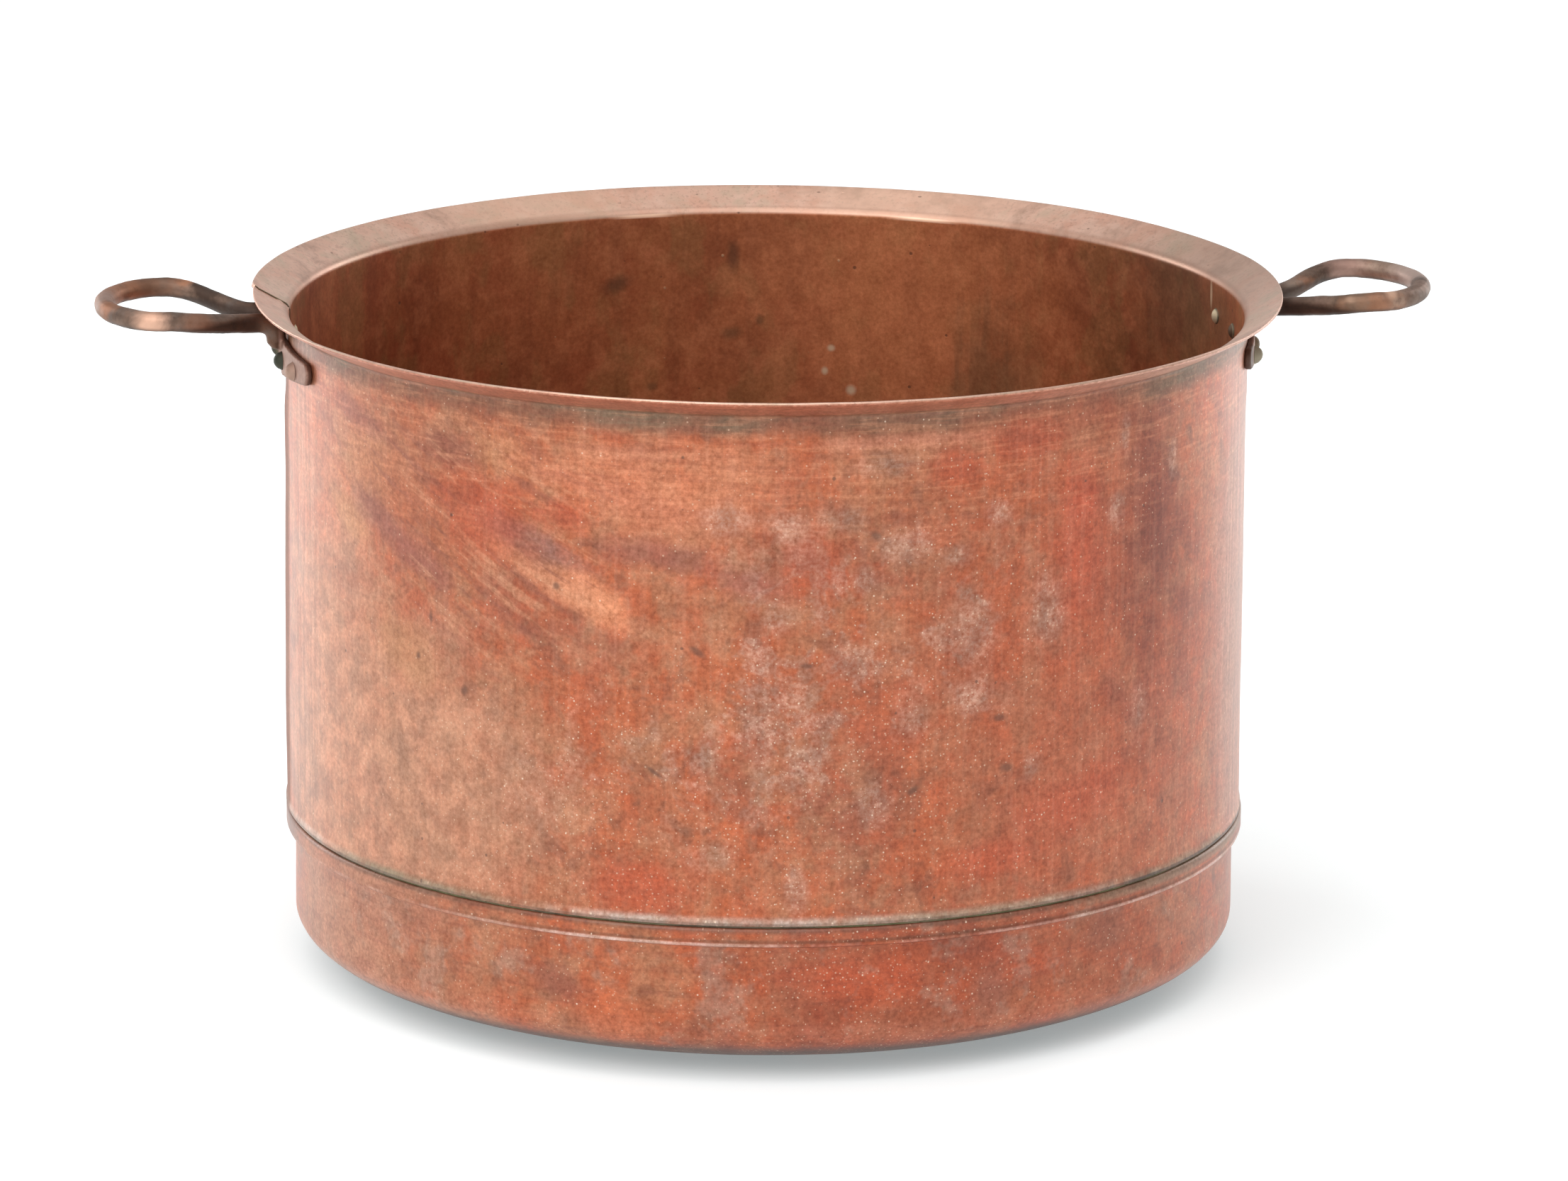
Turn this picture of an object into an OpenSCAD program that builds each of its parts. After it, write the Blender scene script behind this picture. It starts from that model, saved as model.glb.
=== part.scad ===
// Laundry copper boiler: a rolled copper shell with a flared rim, a raised pan let into
// its foot, and two forged eye handles held on by rivets. The origin is at the middle of
// the base, the handles lie along X and Z is up. All sizes are in millimetres.

/* [Vessel] */
// Outer diameter of the shell
body_d = 560; // [420:10:760]
// Height from the floor to the top of the rim
vessel_h = 400; // [320:10:600]
// Thickness of the copper sheet
sheet_t = 2; // [1.2:0.1:3]
// Gap left between sheets that slide into each other
sheet_gap = 0.1; // [0.05:0.05:0.3]

/* [Rim] */
// Outer diameter of the flared rim
rim_d = 601; // [590:1:620]
// Slope of the flare above level
flare_angle = 29; // [15:1:45]
// Inner radius of the bend under the flare
flare_bend_r = 4; // [2:0.5:8]

/* [Foot of the shell] */
// Height of the shell's lower edge above the floor
seam_h = 94.5; // [70:0.5:130]
// How far the shell's lower edge is drawn outwards
lip_out = 0.5; // [0.2:0.1:2]
// Height of the shell's drawn-out lower edge
lip_h = 5; // [3:0.5:10]

/* [Side seam] */
// Direction in which the sheet's inner end stops, seen from above
lap_az = 175; // [174.5:0.1:175.5]
// Width of the lap, as an angle
lap_angle = 4; // [3:0.1:4.4]
// Gap between the two thinned ends, filled with solder
lap_gap = 0.15; // [0.1:0.05:0.3]
// Width of the line of solder that shows at each end, as an angle
lap_line_angle = 0.3; // [0.2:0.05:0.6]

/* [Pan] */
// Height of the spigot that slides up inside the shell
spigot_h = 25; // [12:1:40]
// Height of the swaged bead under the seam
bead_h = 10.5; // [8:0.5:16]
// How far the bead stands out from the shell's face
bead_out = 1.8; // [0:0.1:2.5]
// Radius of the bead's edges
bead_r = 1.6; // [1:0.1:2.5]
// How far the pan's wall lies inside the shell's face
pan_wall_in = 3.7; // [3:0.1:8]
// Width of the pan's rounded corner
corner_w = 98; // [60:1:140]
// Height of the pan's rounded corner
corner_h = 31; // [20:1:60]
// Height of the solder ring between the bead and the shell
seam_ring_h = 1.4; // [0.8:0.1:2.5]
// How far the solder ring lies inside the shell's face
seam_ring_in = 0.5; // [0.2:0.1:1]

/* [Handles] */
// Diameter of the handle rod
rod_d = 12; // [9:0.5:14]
// Distance from the shell's face to the rod at the tip of the eye
eye_reach = 105; // [85:1:130]
// Distance from the shell's face to the widest part of the eye
eye_widest = 68.5; // [60:0.5:72]
// Width of the eye over the rod's centres
eye_w = 95; // [84:1:110]
// Radius of the eye's shoulders
eye_shoulder_r = 29.5; // [26:0.5:32]
// Angle through which a shoulder turns before the rod runs in to the neck
eye_shoulder_end = 126; // [115:1:132]
// Height of the eye above the bend of the rim
eye_rise = 8; // [4:0.5:12]
// Distance of each leg from the middle of the handle where it meets the shell
leg_across = 13; // [10:0.5:16]

/* [Handle feet] */
// Thickness of a foot
foot_t = 4; // [3:0.5:6]
// Distance of a foot's wide end from the middle of the handle, along the wall
foot_root = 15; // [12:0.5:18]
// Radius of a foot's wide end
foot_root_r = 10.5; // [9:0.5:12]
// Distance of a foot's narrow end from the middle of the handle, along the wall
foot_end = 73; // [64:1:84]
// Radius of a foot's narrow end
foot_end_r = 6.5; // [5:0.5:8]
// Depth of a foot's wide end below the bend of the rim
foot_drop = 21; // [20:0.5:26]
// How much higher the narrow end lies than the wide end
foot_lift = 2.5; // [0:0.5:5]

/* [Rivets] */
// Diameter of a rivet's shank
rivet_d = 5.5; // [4:0.5:7]
// Gap between a rivet's shank and its hole, on each side
rivet_gap = 0.05; // [0.03:0.01:0.15]
// Distance of the inner rivets from the middle of the handle, along the wall
rivet_in = 18; // [16:0.5:22]
// Distance of the outer rivets from the middle of the handle, along the wall
rivet_out = 53; // [45:0.5:60]
// Diameter of a rivet's outer head
head_d = 11; // [9:0.5:12]
// Height of a rivet's outer head
head_h = 5; // [3:0.25:5.5]
// Diameter of a rivet's inner head
tail_d = 9.5; // [8:0.5:11]
// Height of a rivet's inner head
tail_h = 2.5; // [1.5:0.25:3.5]

/* [Hidden] */

$fn = 96;
copper = "#bc7155";
old_copper = "#8a5a46";
verdigris = "#7f9a88";
solder_grey = "#8d8a84";

body_r = body_d / 2;
inner_r = body_r - sheet_t;
half_sheet = sheet_t / 2;

// Rim: the centre of its rolled edge, and the centre of the bend under the flare
edge_r = rim_d / 2 - half_sheet;
edge_z = vessel_h - half_sheet;
bend_c_r = body_r + flare_bend_r;
flare_len = (edge_r - bend_c_r + (flare_bend_r + half_sheet) * sin(flare_angle)) / cos(flare_angle);
bend_c_z = edge_z - (flare_bend_r + half_sheet) * cos(flare_angle) - flare_len * sin(flare_angle);
bend_z = bend_c_z + flare_bend_r * tan(45 - flare_angle / 2);

// Pan: its spigot, its bead and its wall
spigot_r = inner_r - sheet_gap;
spigot_top = seam_h + spigot_h;
bead_top = seam_h - seam_ring_h;
bead_bottom = bead_top - bead_h;
bead_face_r = body_r + bead_out;
pan_wall_r = body_r - pan_wall_in;
pan_flat_r = pan_wall_r - corner_w;
corner_steps = 18;

// Side seam: both ends are thinned to half the sheet, so that the lap is flush
outer_end_az = lap_az - lap_angle;
lap_under = half_sheet - lap_gap / 2;
lap_over = half_sheet + lap_gap / 2;

// Handle: the arcs of its eye, in the level plane through the rod
eye_z = bend_z + eye_rise;
eye_u = body_r + eye_reach;
shoulder_u = body_r + eye_widest;
shoulder_v = eye_w / 2 - eye_shoulder_r;
shoulder_a = eye_u - shoulder_u;
crown_r = (pow(shoulder_a, 2) + pow(shoulder_v, 2) - pow(eye_shoulder_r, 2))
    / (2 * (shoulder_a - eye_shoulder_r));
crown_u = eye_u - crown_r;
crown_angle = atan2(shoulder_v, shoulder_u - crown_u);

// Handle: the leg's route from the eye, under the flare and down the wall into the foot
leg_top = [shoulder_u + eye_shoulder_r * cos(eye_shoulder_end),
    shoulder_v + eye_shoulder_r * sin(eye_shoulder_end), eye_z];
leg_top_dir = [-sin(eye_shoulder_end), cos(eye_shoulder_end), 0];
neck_out = 19;
neck_across = leg_across + 1.5;
neck_rise = 1;
neck = [body_r + neck_out, neck_across, bend_z + neck_rise];
neck_dir = [-0.78, -0.28, -0.56];
wall_gap = 0.5;
wall_leg = [body_r + rod_d / 2 + wall_gap, leg_across, bend_z - foot_drop + foot_root_r - 1];
leg_end = [body_r + foot_t / 2, leg_across, wall_leg[2] - 5];
rod_sides = 20;
leg_end_r = foot_t / 2 - 0.3;
// How far the rod keeps its direction where it leaves each point of the route
eye_pull = 13;
neck_pull_before = 11;
neck_pull_after = 7;
wall_pull = 6;

foot_z = bend_z - foot_drop;
foot_seat_r = body_r + 0.05;
foot_face_r = foot_seat_r + foot_t;
rivet_z = foot_z - 1.5;

function bezier(a, b, c, d, n) = [for (i = [1:n]) let (t = i / n)
    pow(1 - t, 3) * a + 3 * pow(1 - t, 2) * t * b + 3 * (1 - t) * t * t * c + pow(t, 3) * d];
function unit(v) = v / norm(v);

// Normals carried along a route from ring to ring, so that a swept tube doesn't twist
function carried(dirs, n, i = 0) = i >= len(dirs) ? [] :
    let (m = unit(n - (n * dirs[i]) * dirs[i])) concat([m], carried(dirs, m, i + 1));

// Half of the handle's route, from the tip of the eye to the foot
half_route = concat(
    [for (a = [0:crown_angle / 7:crown_angle]) [crown_u + crown_r * cos(a), crown_r * sin(a), eye_z]],
    [for (i = [1:11]) let (a = crown_angle + i * (eye_shoulder_end - crown_angle) / 11)
        [shoulder_u + eye_shoulder_r * cos(a), shoulder_v + eye_shoulder_r * sin(a), eye_z]],
    bezier(leg_top, leg_top + eye_pull * leg_top_dir, neck - neck_pull_before * unit(neck_dir), neck, 9),
    bezier(neck, neck + neck_pull_after * unit(neck_dir), wall_leg + [0, 0, wall_pull], wall_leg, 8),
    [wall_leg + 0.35 * (leg_end - wall_leg) + [0.6, 0, 0],
     wall_leg + 0.7 * (leg_end - wall_leg) + [0.5, 0, 0], leg_end]);
half_n = len(half_route);
// Radius of the rod at each point: full up to the wall, then drawn down into the foot
half_radius = [for (i = [0:half_n - 1]) i < half_n - 3 ? rod_d / 2 :
    rod_d / 2 + (leg_end_r - rod_d / 2) * [0.3, 0.68, 1][i - half_n + 3]];
flip = [1, -1, 1];
route = concat([for (i = [half_n - 1:-1:1]) [for (k = [0:2]) half_route[i][k] * flip[k]]], half_route);
radius = concat([for (i = [half_n - 1:-1:1]) half_radius[i]], half_radius);
route_n = len(route);

// A closed tube swept along a route, with its own radius at each point
module swept_rod(pts, radii, sides) {
    n = len(pts);
    dirs = [for (i = [0:n - 1]) unit(pts[min(i + 1, n - 1)] - pts[max(i - 1, 0)])];
    first_n = carried(dirs, [1, 0, 0]);
    second_n = [for (i = [0:n - 1]) cross(dirs[i], first_n[i])];
    rings = [for (i = [0:n - 1]) for (k = [0:sides - 1]) let (a = 360 * k / sides)
        pts[i] + radii[i] * (cos(a) * first_n[i] + sin(a) * second_n[i])];
    walls = [for (i = [0:n - 2]) for (k = [0:sides - 1]) let (m = (k + 1) % sides)
        [i * sides + k, (i + 1) * sides + k, (i + 1) * sides + m, i * sides + m]];
    start_cap = [[for (k = [0:sides - 1]) k]];
    end_cap = [[for (k = [sides - 1:-1:0]) (n - 1) * sides + k]];
    polyhedron(rings, concat(start_cap, walls, end_cap));
}

// Line through the sheet at a depth from its outer face, from the lower edge to the rim
flare_normal = 90 + flare_angle;
function sheet_line(depth, steps = 8) = concat(
    depth > 0 ? [[body_r - depth, seam_h]] : [[body_r + lip_out, seam_h],
        [body_r + lip_out, seam_h + 0.3 * lip_h], [body_r + 0.3 * lip_out, seam_h + 0.75 * lip_h],
        [body_r, seam_h + lip_h]],
    [for (i = [0:steps]) let (a = 180 - i * (90 - flare_angle) / steps)
        [bend_c_r, bend_c_z] + (flare_bend_r + depth) * [cos(a), sin(a)]],
    [[edge_r, edge_z] + (depth - half_sheet) * [cos(flare_normal), sin(flare_normal)]]);
function reversed(v) = [for (i = [len(v) - 1:-1:0]) v[i]];

// Section of a layer of the sheet between two depths
module layer_section(outer_depth, inner_depth) {
    polygon(concat(sheet_line(outer_depth), reversed(sheet_line(inner_depth))));
}

// Section of the whole sheet: lower lip, wall, bend and flare, with its edge rounded
module sheet_section() {
    rounded = [for (i = [1:7]) let (a = flare_normal - 180 + i * 22.5)
        [edge_r, edge_z] + half_sheet * [cos(a), sin(a)]];
    polygon(concat(sheet_line(0), rounded, reversed(sheet_line(sheet_t))));
}

module shell() {
    color(copper) difference() {
        union() {
            rotate_extrude(start = lap_az, angle = 360 - lap_angle, $fn = 180) sheet_section();
            rotate_extrude(start = outer_end_az + lap_line_angle, angle = lap_angle - lap_line_angle,
                $fn = 180) layer_section(0, lap_under);
            rotate_extrude(start = outer_end_az, angle = lap_angle - lap_line_angle,
                $fn = 180) layer_section(lap_over, sheet_t);
        }
        handle_sides() rivet_places() rivet_hole();
    }
}

// Solder run through the lap: a thin layer between the ends, and the line at each end
module side_seam_solder() {
    color(solder_grey) union() {
        rotate_extrude(start = outer_end_az, angle = lap_angle, $fn = 180)
            layer_section(lap_under, lap_over);
        rotate_extrude(start = outer_end_az, angle = lap_line_angle, $fn = 180)
            layer_section(0, lap_under);
        rotate_extrude(start = lap_az - lap_line_angle, angle = lap_line_angle, $fn = 180)
            layer_section(lap_over, sheet_t);
    }
}

// Section of the pan: spigot, bead, wall, rounded corner and flat base, one sheet thick
function corner_point(i, inset) = let (a = i * 90 / corner_steps,
    p = [pan_flat_r + corner_w * cos(a), corner_h - corner_h * sin(a)],
    n = unit([cos(a) / corner_w, -sin(a) / corner_h])) p - inset * n;

module pan_section() {
    shoulder_r = bead_r + sheet_t;
    round_at = function (c, r, a0, a1) [for (i = [0:5]) let (a = a0 + i * (a1 - a0) / 5)
        c + r * [cos(a), sin(a)]];
    top_c = [bead_face_r - bead_r, bead_top - bead_r];
    low_c = [bead_face_r - bead_r, bead_bottom + bead_r];
    outer = concat(
        [[0, 0]],
        [for (i = [corner_steps:-1:0]) corner_point(i, 0)],
        [[pan_wall_r, bead_bottom - 2]],
        round_at(low_c, bead_r, -45, 0), round_at(top_c, bead_r, 0, 90),
        [[spigot_r, bead_top], [spigot_r, spigot_top]]);
    inner = concat(
        [[spigot_r - sheet_t, spigot_top], [spigot_r - sheet_t, bead_top - sheet_t / 2],
         [bead_face_r - sheet_t - bead_r / 2, bead_top - shoulder_r],
         [bead_face_r - sheet_t - bead_r / 2, bead_bottom + shoulder_r - 1],
         [pan_wall_r - sheet_t, bead_bottom - 1]],
        [for (i = [0:corner_steps]) corner_point(i, sheet_t)],
        [[0, sheet_t]]);
    polygon(concat(outer, inner));
}

module pan() {
    color(copper) rotate_extrude($fn = 180) pan_section();
}

// Ring of solder run into the open seam between the bead and the shell's lower edge
module pan_seam_solder() {
    color(verdigris) translate([0, 0, bead_top]) difference() {
        cylinder(h = seam_ring_h, r = body_r - seam_ring_in, $fn = 180);
        translate([0, 0, -1]) cylinder(h = seam_ring_h + 2, r = spigot_r, $fn = 180);
    }
}

// Both handles are alike: the left one is the right one turned half way round
module handle_sides() {
    children();
    rotate(180) children();
}

// The four rivets of one handle, two through each foot
rivet_along = [-rivet_out, -rivet_in, rivet_in, rivet_out];
function along_wall(s) = s * 180 / (PI * body_r);
function rivet_height(s) = rivet_z + foot_lift * (abs(s) - foot_root) / (foot_end - foot_root);

module rivet_place(i) {
    rotate(along_wall(rivet_along[i])) translate([0, 0, rivet_height(rivet_along[i])])
        rotate([0, 90, 0]) children();
}

module rivet_places() {
    for (i = [0:3]) rivet_place(i) children();
}

// Hole for a rivet, through the wall and the foot
module rivet_hole() {
    past = 10;
    translate([0, 0, inner_r - past])
        cylinder(h = foot_t + sheet_t + 3 * past, d = rivet_d + 2 * rivet_gap, $fn = 48);
}

// Outline of one foot, laid flat: a wide end and a narrow end joined by straight sides
module foot_outline() {
    steps = 14;
    run = foot_end - foot_root;
    tilt = atan2(foot_lift, run);
    side = acos((foot_root_r - foot_end_r) / norm([run, foot_lift]));
    polygon(concat(
        [for (i = [0:steps]) let (a = tilt + side + i * (360 - 2 * side) / steps)
            [foot_root, 0] + foot_root_r * [cos(a), sin(a)]],
        [for (i = [0:steps]) let (a = tilt - side + i * 2 * side / steps)
            [foot_end, foot_lift] + foot_end_r * [cos(a), sin(a)]]));
}

// One foot: its outline cut from a ring that fits the shell's wall
module foot() {
    mid = (foot_root + foot_end) / 2;
    intersection() {
        rotate(along_wall(mid)) translate([body_r - 30, 0, foot_z]) rotate([90, 0, 90])
            linear_extrude(60) translate([-mid, 0]) foot_outline();
        translate([0, 0, foot_z - 40]) difference() {
            cylinder(h = 80, r = foot_face_r, $fn = 180);
            translate([0, 0, -1]) cylinder(h = 82, r = foot_seat_r, $fn = 180);
        }
    }
}

module handle() {
    color(old_copper) difference() {
        union() {
            swept_rod(route, radius, rod_sides);
            foot();
            mirror([0, 1, 0]) foot();
        }
        cylinder(h = vessel_h, r = foot_seat_r, $fn = 180);
        rivet_places() rivet_hole();
    }
}

module handle_right() {
    handle();
}

module handle_left() {
    rotate(180) handle();
}

// A cap of a sphere: its base diameter and its height
module dome(d, h) {
    r = (d * d / 4 + h * h) / (2 * h);
    rotate_extrude($fn = 48) intersection() {
        translate([0, h - r]) circle(r, $fn = 96);
        square([d, h]);
    }
}

// One rivet, along Z from the middle of the vessel: inner head, shank and outer head
module rivet() {
    tail_seat = sqrt(pow(inner_r, 2) - pow(tail_d / 2, 2)) - 0.02;
    head_seat = foot_face_r + 0.02;
    color(verdigris) union() {
        translate([0, 0, tail_seat]) mirror([0, 0, 1]) dome(tail_d, tail_h);
        translate([0, 0, tail_seat - 1]) cylinder(h = head_seat - tail_seat + 2, d = rivet_d, $fn = 48);
        translate([0, 0, head_seat]) dome(head_d, head_h);
    }
}

shell();
pan();
pan_seam_solder();
side_seam_solder();
handle_right();
handle_left();
rivet_place(0) rivet();  // rivet_right_1
rivet_place(1) rivet();  // rivet_right_2
rivet_place(2) rivet();  // rivet_right_3
rivet_place(3) rivet();  // rivet_right_4
rotate(180) rivet_place(0) rivet();  // rivet_left_1
rotate(180) rivet_place(1) rivet();  // rivet_left_2
rotate(180) rivet_place(2) rivet();  // rivet_left_3
rotate(180) rivet_place(3) rivet();  // rivet_left_4
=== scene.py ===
import math
import random

import bpy
from mathutils import Matrix, Vector, noise


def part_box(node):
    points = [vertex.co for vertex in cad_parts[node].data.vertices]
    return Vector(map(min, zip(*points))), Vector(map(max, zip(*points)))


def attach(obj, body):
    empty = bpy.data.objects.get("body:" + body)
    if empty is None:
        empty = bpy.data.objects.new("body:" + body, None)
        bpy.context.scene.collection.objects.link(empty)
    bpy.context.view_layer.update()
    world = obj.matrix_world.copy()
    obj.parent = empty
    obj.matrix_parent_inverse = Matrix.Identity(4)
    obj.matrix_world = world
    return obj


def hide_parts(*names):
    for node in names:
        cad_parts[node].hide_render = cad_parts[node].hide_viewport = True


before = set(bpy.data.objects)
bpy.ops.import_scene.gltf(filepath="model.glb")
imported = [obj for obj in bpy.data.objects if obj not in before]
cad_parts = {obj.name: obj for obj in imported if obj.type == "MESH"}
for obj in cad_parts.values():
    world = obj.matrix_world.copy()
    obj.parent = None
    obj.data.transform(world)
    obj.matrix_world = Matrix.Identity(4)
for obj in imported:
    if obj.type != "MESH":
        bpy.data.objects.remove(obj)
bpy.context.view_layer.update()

# ---------------------------------------------------------------------------------------
# Camera. It stands 5 m in front of the copper, a little to the left, looks down by about
# 14 degrees through a long lens, and is turned a touch off the middle of the vessel.
# ---------------------------------------------------------------------------------------
PHOTO_W, PHOTO_H = 2212, 1666
focal_px = 12111.5
aim_px, aim_py = 1079.45, 825.6
camera_distance = 5.04
camera_tilt = math.radians(14.18)
camera_azimuth = math.radians(-6.1)
camera_roll = 0.0064
aim_height = 0.2206

forward = Vector((0, math.cos(camera_tilt), -math.sin(camera_tilt)))
right = Vector((1, 0, 0))
up = right.cross(forward)
pan_angle = math.atan((aim_px - PHOTO_W / 2) / focal_px)
tip_angle = math.atan((aim_py - PHOTO_H / 2) / focal_px)
forward, right = (forward * math.cos(pan_angle) - right * math.sin(pan_angle),
                  right * math.cos(pan_angle) + forward * math.sin(pan_angle))
forward, up = (forward * math.cos(tip_angle) + up * math.sin(tip_angle),
               up * math.cos(tip_angle) - forward * math.sin(tip_angle))
right, up = (right * math.cos(camera_roll) + up * math.sin(camera_roll),
             up * math.cos(camera_roll) - right * math.sin(camera_roll))
camera_place = Vector((0, -camera_distance * math.cos(camera_tilt),
                       aim_height + camera_distance * math.sin(camera_tilt)))
camera_turn = Matrix((right, up, -forward)).transposed().to_4x4()

lens = bpy.data.cameras.new("camera")
lens.sensor_width = 36
lens.lens = lens.sensor_width * focal_px / PHOTO_W
lens.clip_start, lens.clip_end = 0.1, 100
camera = bpy.data.objects.new("camera", lens)
bpy.context.scene.collection.objects.link(camera)
camera_round = Matrix.Rotation(camera_azimuth, 4, "Z")
camera.matrix_world = camera_round @ Matrix.Translation(camera_place) @ camera_turn
bpy.context.scene.camera = camera


# ---------------------------------------------------------------------------------------
# Studio. A plain white floor under broad, soft light from above, with two tall soft boxes
# behind the vessel whose light runs down its sides, and a wide one at the front left.
# ---------------------------------------------------------------------------------------
class Socket:
    """A value in a material. Sums with it are worked out by the material itself."""

    def __init__(self, finish, link):
        self.finish, self.link = finish, link

    def math(self, operation, *values, clamp=False):
        settings = {"operation": operation, "use_clamp": clamp}
        return self.finish.node("Math", settings, dict(enumerate(values)))

    def __add__(self, other):
        return self.math("ADD", self, other)

    def __radd__(self, other):
        return self.math("ADD", other, self)

    def __sub__(self, other):
        return self.math("SUBTRACT", self, other)

    def __rsub__(self, other):
        return self.math("SUBTRACT", other, self)

    def __mul__(self, other):
        return self.math("MULTIPLY", self, other)

    def __rmul__(self, other):
        return self.math("MULTIPLY", other, self)

    def clamp(self):
        return self.math("ADD", self, 0.0, clamp=True)

    def between(self, low, high):
        """0 below low and 1 above high, or the other way round, with a soft step between."""
        settings = {"interpolation_type": "SMOOTHSTEP"}
        return self.finish.node("MapRange", settings, {0: self, 1: low, 2: high, 3: 0.0, 4: 1.0})

    def band(self, base, *edges):
        """1 in a band: edges are where it starts, is full, fades and ends, counted from base."""
        start, full, fading, end = (base + edge for edge in edges)
        return self.between(start, full) * self.between(end, fading)


def paint(red, green, blue):
    """A colour as a painter would read it off, 0 to 255, turned into light."""
    parts = [v / 255 for v in (red, green, blue)]
    return tuple(v / 12.92 if v <= 0.04045 else ((v + 0.055) / 1.055) ** 2.4 for v in parts) + (1.0,)


class Finish:
    """One material. Its surface is laid down in layers of colour, roughness and height."""

    def __init__(self, name, **constants):
        self.material = bpy.data.materials.new(name)
        self.material.use_nodes = True
        self.tree = self.material.node_tree
        self.shader = next(n for n in self.tree.nodes if n.type == "BSDF_PRINCIPLED")
        for socket, value in constants.items():
            self.feed(self.shader.inputs[socket.replace("_", " ")], value)
        self.place = self.node("TexCoord", {}, {}, "Object")
        self.colour = None

    def feed(self, socket, value):
        """Links a value to a socket or sets it. A colour of three parts is read as paint."""
        if isinstance(value, Socket):
            self.tree.links.new(value.link, socket)
        elif socket.type == "RGBA" and len(value) == 3:
            socket.default_value = paint(*value)
        else:
            socket.default_value = value

    def node(self, kind, settings, inputs, output=0):
        """A new node: its settings first, then what goes into it. Gives back one output or several."""
        node = self.tree.nodes.new("ShaderNode" + kind)
        for setting, value in settings.items():
            if setting == "stops":
                while len(node.color_ramp.elements) < len(value):
                    node.color_ramp.elements.new(0.5)
                for element, (position, tone) in zip(node.color_ramp.elements, value):
                    element.position, element.color = position, paint(*tone)
            else:
                setattr(node, setting, value)
        for socket, value in inputs.items():
            self.feed(node.inputs[socket], value)
        if isinstance(output, tuple):
            return tuple(Socket(self, node.outputs[one]) for one in output)
        return Socket(self, node.outputs[output])

    def mix(self, mask, below, above, blend="MIX"):
        """The colour above over the colour below where the mask is 1."""
        settings = {"data_type": "RGBA", "blend_type": blend, "clamp_factor": True}
        return self.node("Mix", settings, {0: mask, 6: below, 7: above}, 2)

    def lay(self, mask, tone):
        """Lays a tone over the colour so far where the mask is 1."""
        self.colour = self.mix(mask, self.colour, tone)

    def blend(self, mask, below, above):
        """A mix of two plain numbers."""
        return self.node("Mix", {"data_type": "FLOAT"}, {0: mask, 2: below, 3: above})

    def moved(self, *move):
        """The place on the piece, shifted, so that like patterns don't fall together."""
        return self.node("Mapping", {}, {"Vector": self.place, "Location": move})

    def clouds(self, scale, detail=3.0, rough=0.55, place=None, warp=0.0):
        wires = {"Vector": place or self.place, "Scale": scale, "Detail": detail, "Roughness": rough,
                 "Distortion": warp}
        return self.node("TexNoise", {}, wires)

    def laid_at(self, place, turn, size):
        """The place on the piece as seen from a spot that has its own turn and size."""
        wires = {"Vector": self.place, "Location": place, "Rotation": turn, "Scale": size}
        return self.node("Mapping", {"vector_type": "TEXTURE"}, wires)

    def ball(self, place, turn, size):
        """1 in the middle of a ball with these half sizes, and 0 outside it."""
        spot = self.laid_at(place, turn, size)
        return self.node("TexGradient", {"gradient_type": "SPHERICAL"}, {0: spot}, "Fac")

    def drawn_out(self, flat, scale, move=(0, 0, 0), detail=3.0):
        """Clouds on the sheet laid flat, drawn out along one direction."""
        shifted = self.node("Mapping", {}, {"Vector": flat, "Location": move})
        stretched = self.node("Mapping", {}, {"Vector": shifted, "Scale": (*scale, 1)})
        wires = {"Vector": stretched, "Scale": 1.0, "Detail": detail, "Roughness": 0.6}
        return self.node("TexNoise", {"noise_dimensions": "2D"}, wires)

    def ramp(self, value, *stops):
        """A tone for each value, from a few stops."""
        return self.node("ValToRGB", {"stops": stops}, {0: value})

    def surface(self, roughness, metallic, height):
        """Closes the layers: height is in millimetres."""
        bump = self.node("Bump", {}, {"Strength": 1.0, "Distance": 0.001, "Height": height})
        wires = {"Base Color": self.colour, "Roughness": roughness, "Metallic": metallic, "Normal": bump}
        for socket, value in wires.items():
            self.feed(self.shader.inputs[socket], value)


floor_half = 30.0
floor_white = (0.80, 0.825, 0.83, 1.0)
floor_glow_tint = (0.715, 0.80, 0.815, 1.0)
floor_glow = 0.36

bpy.ops.object.select_all(action="DESELECT")
bpy.ops.mesh.primitive_grid_add(x_subdivisions=8, y_subdivisions=8, size=2 * floor_half)
floor = bpy.context.object
floor.name = "floor"
floor_finish = Finish("floor_white", Roughness=0.9, Specular_IOR_Level=0.2, Base_Color=floor_white,
                      Emission_Color=floor_glow_tint, Emission_Strength=floor_glow)
floor.data.materials.append(floor_finish.material)

world_light = 0.60
world_tint = (1.0, 0.99, 0.98, 1.0)
world = bpy.data.worlds.new("studio")
world.use_nodes = True
world.node_tree.nodes["Background"].inputs["Color"].default_value = world_tint
world.node_tree.nodes["Background"].inputs["Strength"].default_value = world_light
bpy.context.scene.world = world
bpy.context.scene.view_settings.view_transform = "Standard"
bpy.context.scene.view_settings.look = "None"

lit_middle = Vector((0, 0, 0.2))


def soft_box(name, place, size, power):
    """A rectangular soft box that faces the middle of the vessel."""
    light = bpy.data.lights.new(name, "AREA")
    light.shape = "RECTANGLE"
    light.size, light.size_y = size
    light.energy = power
    box = bpy.data.objects.new(name, light)
    bpy.context.scene.collection.objects.link(box)
    box.location = place
    box.rotation_euler = (lit_middle - Vector(place)).to_track_quat("-Z", "Y").to_euler()


soft_box("left_strip", place=(-1.7, 1.5, 0.75), size=(0.7, 1.5), power=15)
soft_box("right_strip", place=(1.9, 1.5, 0.75), size=(0.5, 1.5), power=14)
soft_box("front_left", place=(-2.2, -3.0, 2.4), size=(1.8, 1.8), power=30)

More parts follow.
